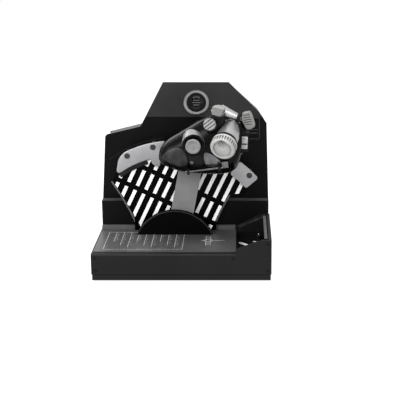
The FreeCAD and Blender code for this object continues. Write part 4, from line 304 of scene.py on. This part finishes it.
def settle(obj, name, mat, body):
    """Name a finished mesh, put its place into the mesh, and hang it on a body."""
    obj.name = obj.data.name = name
    obj.data.transform(obj.matrix_world)
    obj.matrix_world = Matrix.Identity(4)
    obj.data.materials.clear()
    obj.data.materials.append(mat)
    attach(obj, body)
    return obj


def plane_of(origin, right, up):
    """Matrix of a flat face: X to the right, Y up the face, Z out of it."""
    right, up = Vector(right).normalized(), Vector(up).normalized()
    turn = Matrix((right, up, right.cross(up))).transposed().to_4x4()
    return Matrix.Translation(origin) @ turn


def turned_outward():
    """Turn every face of the mesh in edit mode outward, and leave edit mode."""
    bpy.ops.mesh.select_all(action="SELECT")
    bpy.ops.mesh.normals_make_consistent(inside=False)
    bpy.ops.object.mode_set(mode="OBJECT")


STROKE_EASE = 0.12    # rounding of a stroke's top, as a share of its width
FIGURE_CURVE = 3      # how finely the curves of printed numbers are divided


def model_stroke():
    """One printed stroke, 1 long, 1 wide and 1 high, its top edges eased: the pattern for the rest."""
    bpy.ops.object.select_all(action="DESELECT")
    bpy.ops.mesh.primitive_plane_add(size=1)
    bpy.ops.object.mode_set(mode="EDIT")
    bpy.ops.mesh.extrude_region_move(TRANSFORM_OT_translate={"value": (0, 0, 1)})
    bpy.ops.mesh.bevel(offset=STROKE_EASE, segments=1)
    turned_outward()
    pattern = bpy.context.object
    mesh = pattern.data.copy()
    bpy.data.objects.remove(pattern)
    return mesh


STROKE = model_stroke()


def stroke(x0, y0, x1, y1, width):
    """A printed line from one point to the other, in the plane of the print, in millimetres."""
    mesh = STROKE.copy()
    span = Vector((x1 - x0, y1 - y0, 0)) * MM
    middle = Vector(((x0 + x1) / 2, (y0 + y1) / 2, 0)) * MM
    size = Matrix.Diagonal((span.length + width * MM, width * MM, PRINT_HEIGHT, 1))
    turn = Matrix.Rotation(math.atan2(span.y, span.x), 4, "Z")
    mesh.transform(Matrix.Translation(middle) @ turn @ size)
    made = bpy.data.objects.new("stroke", mesh)
    scene.collection.objects.link(made)
    return made


def figure(text, x, y, height):
    """A printed number, centred on its place in the plane of the print."""
    bpy.ops.object.select_all(action="DESELECT")
    bpy.ops.object.text_add()
    made = bpy.context.object
    made.data.body = text
    made.data.size = height * MM
    made.data.extrude = PRINT_HEIGHT
    made.data.resolution_u = FIGURE_CURVE
    made.data.align_x, made.data.align_y = "CENTER", "CENTER"
    bpy.ops.object.convert(target="MESH")
    made = bpy.context.object
    made.data.transform(Matrix.Translation((x * MM, y * MM, 0)))
    return made


def ring(radius, width, steps=48, sweep=360.0, start=0.0):
    """A flat printed ring or arc about the origin of the print, spun clockwise from one short edge.
    Sizes are in millimetres, and the angles where it starts and how far it sweeps in degrees."""
    bpy.ops.object.select_all(action="DESELECT")
    bpy.ops.mesh.primitive_plane_add(size=1)
    made = bpy.context.object
    half = width * MM / 2
    corners = ((-half, 0), (half, 0), (-half, PRINT_HEIGHT), (half, PRINT_HEIGHT))
    begin = Matrix.Rotation(math.radians(start), 4, "Z")
    for vert, (out, lift) in zip(made.data.vertices, corners):
        vert.co = begin @ Vector((radius * MM + out, 0, lift))
    bpy.ops.object.mode_set(mode="EDIT")
    bpy.ops.mesh.select_all(action="SELECT")
    bpy.ops.mesh.spin(steps=steps, angle=math.radians(sweep), center=(0, 0, 0), axis=UP)
    bpy.ops.mesh.select_all(action="SELECT")
    bpy.ops.mesh.remove_doubles(threshold=WELD)
    turned_outward()
    return made


def prism(outline, height):
    """A plate of that outline in the plane of the print, in millimetres, standing that high."""
    bpy.ops.object.select_all(action="DESELECT")
    bpy.ops.mesh.primitive_circle_add(vertices=len(outline), fill_type="NGON")
    made = bpy.context.object
    for vert, (x, y) in zip(made.data.vertices, outline):
        vert.co = (x * MM, y * MM, 0)
    bpy.ops.object.mode_set(mode="EDIT")
    bpy.ops.mesh.select_all(action="SELECT")
    bpy.ops.mesh.extrude_region_move(TRANSFORM_OT_translate={"value": (0, 0, height * MM)})
    turned_outward()
    return made


def turned(profile, steps=64):
    """A solid ring: a closed profile of (radius, height) in millimetres, spun about the Z axis."""
    bpy.ops.object.select_all(action="DESELECT")
    bpy.ops.mesh.primitive_circle_add(vertices=len(profile), fill_type="NOTHING")
    made = bpy.context.object
    for vert, (out, up) in zip(made.data.vertices, profile):
        vert.co = (out * MM, 0, up * MM)
    bpy.ops.object.mode_set(mode="EDIT")
    bpy.ops.mesh.select_all(action="SELECT")
    bpy.ops.mesh.spin(steps=steps, angle=FULL_TURN, center=(0, 0, 0), axis=UP)
    bpy.ops.mesh.select_all(action="SELECT")
    bpy.ops.mesh.remove_doubles(threshold=WELD)
    turned_outward()
    return made


def worked(obj, kind, **settings):
    """Add one modifier to the object and make it permanent."""
    picked(obj)
    step = obj.modifiers.new(kind.lower(), kind)
    for name, value in settings.items():
        setattr(step, name, value)
    bpy.ops.object.modifier_apply(modifier=step.name)


def eased(obj, width, segments=3):
    """Round the sharp edges of a mesh, by that many millimetres."""
    worked(obj, "BEVEL", width=width * MM, segments=segments, limit_method="ANGLE",
           angle_limit=math.radians(SHARP))


def smoothed(obj, degrees=SMOOTH):
    """Smooth shading wherever faces meet at less than that angle."""
    picked(obj)
    bpy.ops.object.shade_smooth_by_angle(angle=math.radians(degrees))


def along_axis(joint, shift=0.0):
    """Matrix at a joint, moved along its axis by shift millimetres, with Z along the axis."""
    axis = Vector(JOINTS[joint]["axis"]).normalized()
    place = Vector(JOINTS[joint]["pos_m"]) + axis * shift * MM
    return Matrix.Translation(place) @ axis.to_track_quat("Z", "Y").to_matrix().to_4x4()


def curve_through(points, count):
    """That many points along a closed Catmull-Rom curve through the given points."""
    curve, total = [], len(points)
    for i in range(count):
        k, t = divmod(i * total / count, 1)
        a, b, c, d = (Vector(points[(int(k) + j) % total]) for j in (-1, 0, 1, 2))
        curve.append(0.5 * (2 * b + (c - a) * t + (2 * a - 5 * b + 4 * c - d) * t ** 2
                            + (3 * b - a - 3 * c + d) * t ** 3))
    return curve


PANEL_SIDES = 48      # sides of a panel's outline
PANEL_CUTS = 7        # cuts between its middle and its outline
PANEL_START = -90.0   # where a panel starts, in front of the grip, before it is pressed back
PANEL_THICK = 1.0
PANEL_EASE = 0.3


def laid_panel(name, points, proud, mat):
    """A thin panel let into the front of the grip: a disc shaped to a smooth outline of (x, z) in
    millimetres, pressed back onto the grip until it stands proud of it by that much."""
    rim = curve_through(points, PANEL_SIDES)
    middle = sum(rim, Vector((0, 0))) / len(rim)
    bpy.ops.object.select_all(action="DESELECT")
    bpy.ops.mesh.primitive_circle_add(vertices=PANEL_SIDES, radius=1, fill_type="TRIFAN")
    made = bpy.context.object
    bpy.ops.object.mode_set(mode="EDIT")
    bpy.ops.mesh.select_all(action="SELECT")
    bpy.ops.mesh.subdivide(number_cuts=PANEL_CUTS)
    bpy.ops.object.mode_set(mode="OBJECT")
    for vert in made.data.vertices:
        turn = math.atan2(vert.co.y, vert.co.x) % FULL_TURN / FULL_TURN * PANEL_SIDES
        k = int(turn) % PANEL_SIDES
        edge = rim[k].lerp(rim[(k + 1) % PANEL_SIDES], turn % 1)
        x, z = middle + (edge - middle) * min(vert.co.length, 1)
        vert.co = (x * MM, PANEL_START * MM, z * MM)
    bpy.ops.object.mode_set(mode="EDIT")
    turned_outward()
    if made.data.polygons[0].normal.y > 0:
        made.data.flip_normals()
    worked(made, "SHRINKWRAP", wrap_method="PROJECT", use_project_y=True, use_positive_direction=True,
           target=NODES["grip_front"], auxiliary_target=NODES["grip_back"], offset=proud * MM)
    worked(made, "SOLIDIFY", thickness=PANEL_THICK * MM, offset=-1)
    eased(made, PANEL_EASE, 2)
    smoothed(made)
    return settle(made, name, mat, "lever")


def printed(name, marks, face, mat, body):
    """Join the marks of one print and lay them on their face."""
    picked(*marks)
    bpy.ops.object.join()
    made = bpy.context.object
    made.data.transform(face @ Matrix.Translation((0, 0, -NUDGE)))
    return settle(made, name, mat, body)


def face_met(name, start, way):
    """Where a line from a point, in millimetres, first meets a piece."""
    met, spot, _, _ = NODES[name].ray_cast(Vector(start) * MM, way)
    assert met, f"no face of {name} lies that way"
    return spot


# ---------------------------------------------------------------- print on the legend panel
low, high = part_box("legend_panel")
panel_face = plane_of((low.x, low.y, high.z), RIGHT, BACK)
panel_wide, panel_deep = (high.x - low.x) / MM, (high.y - low.y) / MM

LEGEND_LEFT, LEGEND_FRONT, LEGEND_BACK = 11.5, 9.0, 10.0   # margins of the frame on its panel
LEGEND_SHARE = 0.62                    # the frame's right side, as a share of the panel's width
FRAME_LINE, RULE_LINE, TICK_LINE = 0.5, 0.55, 0.45
LEGEND_COLUMNS, LEGEND_TICKS = 9, 6    # rules side by side, and ticks beside each
RULE_REACH = (0.92, 0.55, 0.78)        # lengths of the rules, in turn, as a share of the room for them
RULE_TOP, RULE_FOOT = 5, 4             # room left above and below the longest rule
TICK_TOP, TICK_FOOT = 9, 7             # and above and below its ticks
TICK_GAP, TICK_SHORTEST = 1.6, 1.2
NUMBER_DROP, NUMBER_HIGH, NUMBER_STEP = 2.4, 3.0, 10


def legend_print():
    """A ruled frame with plain scales inside it: long rules, short ticks and numbers."""
    left, right = LEGEND_LEFT, panel_wide * LEGEND_SHARE
    front, back = LEGEND_FRONT, panel_deep - LEGEND_BACK
    marks = [stroke(left, front, right, front, FRAME_LINE), stroke(left, front, left, back, FRAME_LINE),
             stroke(right, front, right, back, FRAME_LINE), stroke(left, back, right, back, FRAME_LINE)]
    pitch = (right - left) / (LEGEND_COLUMNS + 1)
    for i in range(1, LEGEND_COLUMNS + 1):
        x = left + i * pitch
        reach = RULE_REACH[i % 3]
        top = back - RULE_TOP
        marks.append(stroke(x, top, x, top - (top - front - RULE_FOOT) * reach, RULE_LINE))
        top = back - TICK_TOP
        for k in range(LEGEND_TICKS):
            y = top - k * (top - front - TICK_FOOT) * reach / LEGEND_TICKS
            start = x + TICK_GAP
            marks.append(stroke(start, y, start + TICK_SHORTEST + (k + i) % 3, y, TICK_LINE))
        marks.append(figure(str(i * NUMBER_STEP), x, back - NUMBER_DROP, NUMBER_HIGH))
    return marks


printed("legend_scale", legend_print(), panel_face, ink, "base")


MARK_PLACE = (0.8, 0.5)             # its middle, as shares of the panel's width and depth
MARK_RING, RING_LINE = 5.5, 1.0
CROSS_LEFT, CROSS_RIGHT, CROSS_LINE = -9, 21, 0.8
RAIL_APART, RAIL_REACH, RAIL_LINE = 3, 19, 0.7    # half the width and half the height of the ladder
RUNGS, RUNG_PITCH, RUNG_LINE = 4, 4.4, 0.5        # rungs above and below the middle one


def alignment_mark():
    """A plain registration mark: a ring, a cross line through it and a ladder of rungs."""
    marks = [ring(MARK_RING, RING_LINE), stroke(CROSS_LEFT, 0, CROSS_RIGHT, 0, CROSS_LINE)]
    for x in (-RAIL_APART, RAIL_APART):
        marks.append(stroke(x, -RAIL_REACH, x, RAIL_REACH, RAIL_LINE))
    for k in range(-RUNGS, RUNGS + 1):
        marks.append(stroke(-RAIL_APART, k * RUNG_PITCH, RAIL_APART, k * RUNG_PITCH, RUNG_LINE))
    return marks


across, deep = MARK_PLACE
mark_face = panel_face @ Matrix.Translation((panel_wide * across * MM, panel_deep * deep * MM, 0))
printed("panel_cross_mark", alignment_mark(), mark_face, ink, "base")


# ---------------------------------------------------------------- print on the tower
LABEL_X, LABEL_Z = 84, 160          # lower left corner of the label
LABEL_WIDE, LABEL_TALL, LABEL_LINE = 17.0, 29.0, 0.4
LABEL_ROWS, LABEL_TICKS = (8.0, 12.6), 5
LABEL_TICK, LABEL_TICK_PITCH, LABEL_TICK_LINE = 1.4, 2.6, 0.7
LABEL_INSET = 3                     # from the label's side to its first tick


def wall_label():
    """A small ruled frame with two rows of plain ticks, low at the right of the middle wall."""
    wide, tall = LABEL_WIDE, LABEL_TALL
    marks = [stroke(0, 0, wide, 0, LABEL_LINE), stroke(0, 0, 0, tall, LABEL_LINE),
             stroke(wide, 0, wide, tall, LABEL_LINE), stroke(0, tall, wide, tall, LABEL_LINE)]
    for row, y in enumerate(LABEL_ROWS):
        for k in range(LABEL_TICKS):
            x = LABEL_INSET + k * LABEL_TICK_PITCH
            marks.append(stroke(x, y, x + LABEL_TICK - row * 0.5, y, LABEL_TICK_LINE))
    return marks


pivot = Vector(JOINTS["throttle"]["pos_m"])
in_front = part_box("base_shell")[0].y / MM    # the front of the base, in front of every wall
wall_y = face_met("tower_fascia", (LABEL_X, in_front, LABEL_Z), BACK).y
label_face = plane_of((LABEL_X * MM, wall_y, LABEL_Z * MM), RIGHT, UP)
printed("wall_label", wall_label(), label_face, dim_ink, "base")

# The dark arc on the wall over the left guard, about the lever's pivot: a painted shadow of the guard.
ARC_RADIUS, ARC_LINE, ARC_STEPS, ARC_SWEEP, ARC_START = 147, 1.3, 24, 32.0, 128.0
arc_face = plane_of((pivot.x, wall_y, pivot.z), RIGHT, UP)
printed("wall_arc_shadow", [ring(ARC_RADIUS, ARC_LINE, ARC_STEPS, ARC_SWEEP, ARC_START)], arc_face, rubber, "base")

BUTTON_BARS = ((5.0, 0), (3.4, -3.2), (3.6, 3.2))    # half the length and the height of each bar
BUTTON_BAR_LINE = 0.9
BUTTON_TICKS, BUTTON_FIRST, BUTTON_STEP = 7, 60, 10   # ticks, and their places round it in degrees
BUTTON_TICK_FROM, BUTTON_TICK_TO, BUTTON_TICK_LINE = 7.4, 9.0, 0.6


def button_print():
    """Three plain bars under a fan of ticks, printed on the push button."""
    marks = [stroke(-half, y, half, y, BUTTON_BAR_LINE) for half, y in BUTTON_BARS]
    for i in range(BUTTON_TICKS):
        angle = math.radians(BUTTON_FIRST + i * BUTTON_STEP)
        c, s = math.cos(angle), math.sin(angle)
        marks.append(stroke(BUTTON_TICK_FROM * c, BUTTON_TICK_FROM * s, BUTTON_TICK_TO * c,
                            BUTTON_TICK_TO * s, BUTTON_TICK_LINE))
    return marks


low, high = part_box("button_cap")
face_out = -Vector(JOINTS["push_button_press"]["axis"]).normalized()
proudest = max(vert.co.dot(face_out) for vert in NODES["button_cap"].data.vertices)
middle = (low + high) / 2
middle += face_out * (proudest - middle.dot(face_out))
printed("button_print", button_print(), plane_of(middle, RIGHT, face_out.cross(RIGHT)), dim_ink,
        "push_button")


# ---------------------------------------------------------------- striped plate and guard
plate_face = plane_of((pivot.x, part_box("quadrant_plate")[0].y, pivot.z), RIGHT, UP)
STRIPE_LEAN, STRIPE_WIDE = math.radians(25.5), 4.6
TAIL_TOP, TAIL_SLANT = 27.0, 4.4
TAILS = ((-70.0, 14.0), (-57.4, 4.6))   # place across the stripes and lower end of each tail


def stripe_tail(across, start, end, slant):
    """The lower end of a stripe, cut at a slant along the leg of the plate. Places are in mm from the
    pivot: across the stripes, and along them."""
    half = STRIPE_WIDE / 2
    corners = ((across - half, start), (across + half, start), (across + half, end),
               (across - half, end + slant))
    c, s = math.cos(STRIPE_LEAN), math.sin(STRIPE_LEAN)
    return prism([(a * c + u * s, -a * s + u * c) for a, u in corners], PRINT_HEIGHT / MM)


printed("stripe_tails", [stripe_tail(across, TAIL_TOP, end, TAIL_SLANT) for across, end in TAILS],
        plate_face, white_inlay, "base")


def arc_points(radius, start, end, count):
    """That many points on an arc about the pivot, in millimetres, between two angles in degrees."""
    angles = [math.radians(start + (end - start) * i / (count - 1)) for i in range(count)]
    return [(radius * math.cos(a), radius * math.sin(a)) for a in angles]


# The left guard in mm from the pivot: its two long edges are arcs, from one angle to the other in
# degrees, and points shape its slanted end and the tab at its right.
GUARD_OUTER, GUARD_OUTER_ARC = 148.0, (95, 116.2, 14)
GUARD_INNER, GUARD_INNER_ARC = 126.8, (124.6, 104.4, 12)
GUARD_TIP, GUARD_TIP_ARC = 126.5, (97, 95, 3)
GUARD_END = [(-68.6, 130.4), (-72.6, 126.3), (-75.4, 120.5), (-77.6, 108.5), (-77.4, 105.6), (-75.6, 103.2)]
GUARD_TAB = [(-31, 119.5), (-29.5, 116), (-25.5, 112.8), (-19.5, 112.8), (-17, 125.3)]
GUARD_ROLL = 1.0


def guard_left():
    """The left guard: a bent band with a blunt slanted end, a hooked tab and rolled edges."""
    low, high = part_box("guard_plate_left")
    outline = (arc_points(GUARD_OUTER, *GUARD_OUTER_ARC) + GUARD_END
               + arc_points(GUARD_INNER, *GUARD_INNER_ARC) + GUARD_TAB
               + arc_points(GUARD_TIP, *GUARD_TIP_ARC))
    plate = prism(outline, (high.y - low.y) / MM)
    plate.data.transform(plane_of((pivot.x, high.y, pivot.z), RIGHT, UP))
    eased(plate, GUARD_ROLL)
    smoothed(plate)
    settle(plate, "guard_left_rolled", blasted, "base")
    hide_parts("guard_plate_left")


guard_left()


# ---------------------------------------------------------------- edges of the control bay: pale strokes painted as highlights
# The right wall's top slopes down to the front. Its plane starts at the front, in from the base's right
# side and down from its top, and each stroke is (x0, y0, x1, y1, width).
RAIL_DROP, RAIL_RUN = 3.9, 97.1
RAIL_IN, RAIL_FRONT, RAIL_DOWN = 4.6, -83, 4.3
RAIL_STROKE = (6, 2.6, 96, 2.6, 3.8)
WEB_SEEN_FROM = (90, -50, 47)           # inside the bay, in front of its slanting back web
WEB_STROKE = (75, 43.2, 108.5, 57.2, 3.0)

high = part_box("base_shell")[1]
rail_start = (high.x - RAIL_IN * MM, RAIL_FRONT * MM, high.z - RAIL_DOWN * MM)
rail_face = plane_of(rail_start, (0, RAIL_RUN, RAIL_DROP), -RIGHT)
printed("bay_wall_edge", [stroke(*RAIL_STROKE)], rail_face, pale_highlight, "base")
web_face = plane_of((0, face_met("base_shell", WEB_SEEN_FROM, BACK).y, 0), RIGHT, UP)
printed("bay_web_edge", [stroke(*WEB_STROKE)], web_face, satin_panel, "base")


# ---------------------------------------------------------------- trim on the grip
# Panels let into the front of the grip: outline as (x, z), how proud it stands, finish and slot.
GRIP_PANELS = {
    # The thumb panel's greys are a painted reflection on the grip's glossy lower lobe.
    "thumb_panel": ([(-26, 151), (-21, 158), (-13, 163), (-4, 165), (3, 161), (6.5, 153), (6.5, 143),
                     (-2, 139.5), (-10, 141.5), (-19, 145.5)], 0.35, satin_panel, "grip_gloss"),
    "throat_panel": ([(30, 160), (38, 158), (46, 152), (50, 145), (44, 141), (36, 140.5), (31, 143),
                      (28.5, 152)], 0.35, brushed, "silver"),
    "recess_panel": ([(10, 158), (19, 157), (26, 155), (27, 147), (26, 141.5), (18, 140), (11, 142),
                      (9, 150)], 0.2, black_abs, "black_plastic"),
}
for name, (outline, proud, mat, slot) in GRIP_PANELS.items():
    laid_panel(name, outline, proud, mat)

# The rubber collar that the paddle rocks in, as (radius, height) along the paddle's axis.
COLLAR = [(4.6, 0), (6.9, 0), (7.2, 0.4), (7.2, 3.6), (6.8, 4.0), (3.6, 4.0), (3.6, 3.5), (4.6, 3.5)]
COLLAR_START = -3.8
collar = turned(COLLAR)
collar.data.transform(along_axis("speed_brake_rock", COLLAR_START))
smoothed(collar)
settle(collar, "paddle_collar", rubber, "lever")

# The rubber skirt round the foot of the crown, as (distance out from the crown's rim, height).
SKIRT = [(-1.5, 0), (-0.2, 0), (0.25, 0.4), (0.25, 4.2), (-0.2, 4.7), (-1.5, 4.7)]
SKIRT_RISE = 0.1
RIM_SHARE = 0.9      # points further out than this share of the radius belong to the rim


def rim_of(name, joint):
    """Radius of a piece about the axis of a joint, and how far along the axis its rim begins, in mm."""
    axis = Vector(JOINTS[joint]["axis"]).normalized()
    points = [vert.co - Vector(JOINTS[joint]["pos_m"]) for vert in NODES[name].data.vertices]
    spans = [(point.dot(axis) / MM, (point - axis * point.dot(axis)).length / MM) for point in points]
    radius = max(far for _, far in spans)
    return radius, min(up for up, far in spans if far > RIM_SHARE * radius)


radius, bottom = rim_of("crown_knob", "crown_turn")
skirt = turned([(radius + out, up) for out, up in SKIRT])
skirt.data.transform(along_axis("crown_turn", bottom + SKIRT_RISE))
smoothed(skirt)
settle(skirt, "crown_skirt", rubber, "crown")

# The small round-headed screw in the recess between the two panels of the grip: near this place, as
# (radius, height) out of the grip's face.
SCREW_PLACE = (12.9, -40, 146.1)
SCREW_HEAD = [(0.8, -0.3), (2.2, -0.3), (2.2, 0.5), (1.7, 0.9), (1.0, 0.9), (0.8, 0.7)]
SMALL_TURNED = 32    # sides of a small turned piece
_, spot, out, _ = NODES["grip_front"].closest_point_on_mesh(Vector(SCREW_PLACE) * MM)
screw = turned(SCREW_HEAD, SMALL_TURNED)
screw.data.transform(plane_of(spot, UP.cross(out), out.cross(UP.cross(out))))
smoothed(screw)
settle(screw, "recess_screw", brushed, "lever")

GROOVED_SMOOTH = 30  # shading angle of pieces with grooves cut into them


def grooved(plate, lines, wide, deep, height):
    """Cut straight grooves into the top of a plate: lines are (x0, y0, x1, y1) in its plane, in mm."""
    for x0, y0, x1, y1 in lines:
        side = Vector((y0 - y1, x1 - x0)).normalized() * wide / 2
        bar = prism([(x0 - side.x, y0 - side.y), (x1 - side.x, y1 - side.y), (x1 + side.x, y1 + side.y),
                     (x0 + side.x, y0 + side.y)], deep + 1)
        bar.data.transform(Matrix.Translation((0, 0, (height - deep) * MM)))
        worked(plate, "BOOLEAN", operation="DIFFERENCE", object=bar, solver="EXACT")
        bpy.data.objects.remove(bar)


PADDLE_OUTLINE = [(78.6, 207.8), (83.5, 209.6), (87.8, 209.8), (90.6, 205.0), (93.0, 198.0),
                  (94.2, 192.4), (91.6, 189.2), (86.6, 187.0), (82.8, 188.2), (79.2, 194.8), (76.6, 201.2)]
PADDLE_SIDES, PADDLE_EASE = 44, 1.1
PADDLE_GROOVES = [(78.6, 205.1, 86.8, 206.7), (78.9, 202.0, 87.7, 203.6), (79.4, 199.0, 88.7, 200.6),
                  (80.2, 196.0, 89.6, 197.5), (81.6, 193.2, 90.4, 194.3)]
PADDLE_GROOVE_WIDE, PADDLE_GROOVE_DEEP = 1.1, 1.3
PADDLE_SHAFT = [(0.5, -1.0), (3.1, -1.0), (3.1, 6.0), (0.5, 6.0)]   # (radius, height) along its axis


def paddle():
    """Speed brake paddle: a rounded wedge with five grip grooves, on the shaft that it rocks about."""
    low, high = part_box("speed_brake_paddle")
    thick = (high.y - low.y) / MM
    plate = prism(curve_through(PADDLE_OUTLINE, PADDLE_SIDES), thick)
    eased(plate, PADDLE_EASE)
    grooved(plate, PADDLE_GROOVES, PADDLE_GROOVE_WIDE, PADDLE_GROOVE_DEEP, thick)
    plate.data.transform(plane_of((0, high.y, 0), RIGHT, UP))
    shaft = turned(PADDLE_SHAFT, SMALL_TURNED)
    shaft.data.transform(along_axis("speed_brake_rock"))
    picked(plate, shaft)
    bpy.ops.object.join()
    smoothed(plate, GROOVED_SMOOTH)
    settle(plate, "paddle_wedge", cap_abs, "speed_brake")
    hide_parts("speed_brake_paddle")


paddle()

SLIDE_WIDE, SLIDE_TALL, SLIDE_THICK, SLIDE_EASE = 9.9, 15.9, 6.8, 0.9
WAIST_AT, WAIST_WIDE, WAIST_DEEP = -1.4, 1.9, 1.6        # the groove across the button
PIP, PIP_WIDE, PIP_DEEP = (-1.4, 5.2, 1.0, 5.2), 0.9, 0.8   # the small mark near its top
STRIP_REACH, STRIP_LOW, STRIP_HIGH = 3.6, -2.2, -0.6     # the dark strip in the groove
STRIP_THICK, STRIP_FRONT, STRIP_EASE = 1.2, 1.7, 0.2


def oblong(left, low, right, high):
    """Corners of an upright rectangle."""
    return [(left, low), (right, low), (right, high), (left, high)]


def slide_button():
    """Slide switch cap: a block with a waist groove, a dark strip in it and a small pip near the top."""
    low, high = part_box("slide_cap")
    axis = Vector(JOINTS["slide_switch"]["axis"])
    right = (1, 0, -axis.x / axis.z)
    middle = (low + high) / 2
    half, tall = SLIDE_WIDE / 2, SLIDE_TALL / 2
    cap = prism(oblong(-half, -tall, half, tall), SLIDE_THICK)
    eased(cap, SLIDE_EASE)
    grooved(cap, [(-SLIDE_WIDE, WAIST_AT, SLIDE_WIDE, WAIST_AT)], WAIST_WIDE, WAIST_DEEP, SLIDE_THICK)
    grooved(cap, [PIP], PIP_WIDE, PIP_DEEP, SLIDE_THICK)
    cap.data.transform(plane_of((middle.x, low.y + SLIDE_THICK * MM, middle.z), right, axis))
    smoothed(cap, GROOVED_SMOOTH)
    settle(cap, "slide_button", knob_abs, "slide")
    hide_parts("slide_cap")
    strip = prism(oblong(-STRIP_REACH, STRIP_LOW, STRIP_REACH, STRIP_HIGH), STRIP_THICK)
    eased(strip, STRIP_EASE, 2)
    strip.data.transform(plane_of((middle.x, low.y + STRIP_FRONT * MM, middle.z), right, axis))
    settle(strip, "slide_strip", rubber, "slide")


slide_button()

# ---------------------------------------------------------------- marks in the control bay
# Strokes as (x0, y0, x1, y1, width) from the middle of the small knob.
BAY_DASH = (-5.6, -7.4, 0.6, -8.6, 3.6)
POINTER = (0, 0.6, 0, 3.4, 1.1)
low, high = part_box("rotary_knob")
middle = (low + high) / 2
over_dash = (middle.x / MM + BAY_DASH[0], middle.y / MM + BAY_DASH[1], high.z / MM)
floor_z = face_met("bay_liner", over_dash, -UP).z
bay_floor = plane_of((middle.x, middle.y, floor_z), RIGHT, BACK)
printed("bay_dash", [stroke(*BAY_DASH)], bay_floor, white_inlay, "base")
knob_top = plane_of((middle.x, middle.y, high.z), RIGHT, BACK)
printed("rotary_pointer", [stroke(*POINTER)], knob_top, white_inlay, "rotary")


# ---------------------------------------------------------------- studio
FLOOR_SIZE, FLOOR_PLACE = 12, (0, 3, 0)
FLOOR_TONE, FLOOR_GLOW = "#b0b0b0", 0.82
LIT_BY_SKY, SEEN_SKY = 0.4, 1.0     # strength of the surround where it lights the part, and is seen

# Softboxes: place, what it points at, width and height, and watts.
LAMPS = {
    "key_softbox": ((-0.7, -1.1, 1.0), (0, 0, 0.12), (0.7, 0.7), 13),
    "top_softbox": ((0.0, -0.3, 1.4), (0, 0, 0.1), (0.8, 0.5), 11),
    "fill_softbox": ((1.1, -1.1, 0.6), (0, 0, 0.1), (0.6, 0.9), 10),
    "side_softbox": ((-0.5, -0.35, 0.35), (-0.08, -0.05, 0.04), (0.25, 0.25), 1.2),
    "rim_softbox": ((-0.75, 0.8, 0.85), (0, -0.02, 0.16), (0.8, 0.6), 5),
}

# A long lens from a little above, looking down by 15 degrees, with its frame shifted to the left.
CAMERA_PLACE, CAMERA_TILT = (0.0748, -1.3481, 0.4469), 75
CAMERA_LENS, CAMERA_SENSOR, CAMERA_SHIFT = 94.05, 36, -0.1


def seen_rays(tree):
    """Socket that is 1 for rays that show a thing directly, in a mirror or through glass."""
    rays = add(tree, "ShaderNodeLightPath").outputs
    seen = add(tree, "ShaderNodeMath", {0: rays["Is Camera Ray"], 1: rays["Is Glossy Ray"]}, operation="ADD")
    return add(tree, "ShaderNodeMath", {0: seen.outputs[0], 1: rays["Is Transmission Ray"]},
               operation="ADD").outputs[0]


def studio_floor():
    """Pale floor: white paper whose lit parts reach white while the shadow under the part stays."""
    bpy.ops.object.select_all(action="DESELECT")
    bpy.ops.mesh.primitive_plane_add(size=FLOOR_SIZE, location=FLOOR_PLACE)
    floor = bpy.context.object
    floor.name = "floor"
    mat = bpy.data.materials.new("white_paper")
    mat.use_nodes = True
    tree = mat.node_tree
    tree.nodes.clear()
    glow = add(tree, "ShaderNodeMath", {0: seen_rays(tree), 1: FLOOR_GLOW}, operation="MULTIPLY")
    paper = add(tree, "ShaderNodeBsdfDiffuse", {"Color": srgb(FLOOR_TONE)})
    light = add(tree, "ShaderNodeEmission", {"Strength": glow.outputs[0]})
    both = add(tree, "ShaderNodeAddShader", {0: paper.outputs[0], 1: light.outputs[0]})
    add(tree, "ShaderNodeOutputMaterial", {"Surface": both.outputs[0]})
    floor.data.materials.append(mat)


def studio_world():
    """White surround: full strength where it is seen or mirrored, softer where it lights the part."""
    world = bpy.data.worlds.new("studio")
    world.use_nodes = True
    tree = world.node_tree
    level = add(tree, "ShaderNodeMapRange", {"Value": seen_rays(tree), "To Min": LIT_BY_SKY,
                                             "To Max": SEEN_SKY})
    sky = tree.nodes["Background"]
    sky.inputs["Color"].default_value = (1, 1, 1, 1)
    tree.links.new(level.outputs["Result"], sky.inputs["Strength"])
    scene.world = world


def lamp(name, place, target, size, watts):
    """One rectangular softbox, turned to its target."""
    data = bpy.data.lights.new(name, "AREA")
    data.shape = "RECTANGLE"
    data.size, data.size_y = size
    data.energy = watts
    made = bpy.data.objects.new(name, data)
    scene.collection.objects.link(made)
    made.location = place
    made.rotation_euler = (Vector(target) - Vector(place)).to_track_quat("-Z", "Y").to_euler()


def studio_camera():
    """The camera that the part is shown by."""
    data = bpy.data.cameras.new("camera")
    camera = bpy.data.objects.new("camera", data)
    scene.collection.objects.link(camera)
    camera.location = CAMERA_PLACE
    camera.rotation_euler = (math.radians(CAMERA_TILT), 0, 0)
    data.lens = CAMERA_LENS
    data.sensor_width = CAMERA_SENSOR
    data.shift_x = CAMERA_SHIFT
    scene.camera = camera


studio_floor()
studio_world()
for name, settings in LAMPS.items():
    lamp(name, *settings)
studio_camera()
scene.view_settings.view_transform = "Standard"
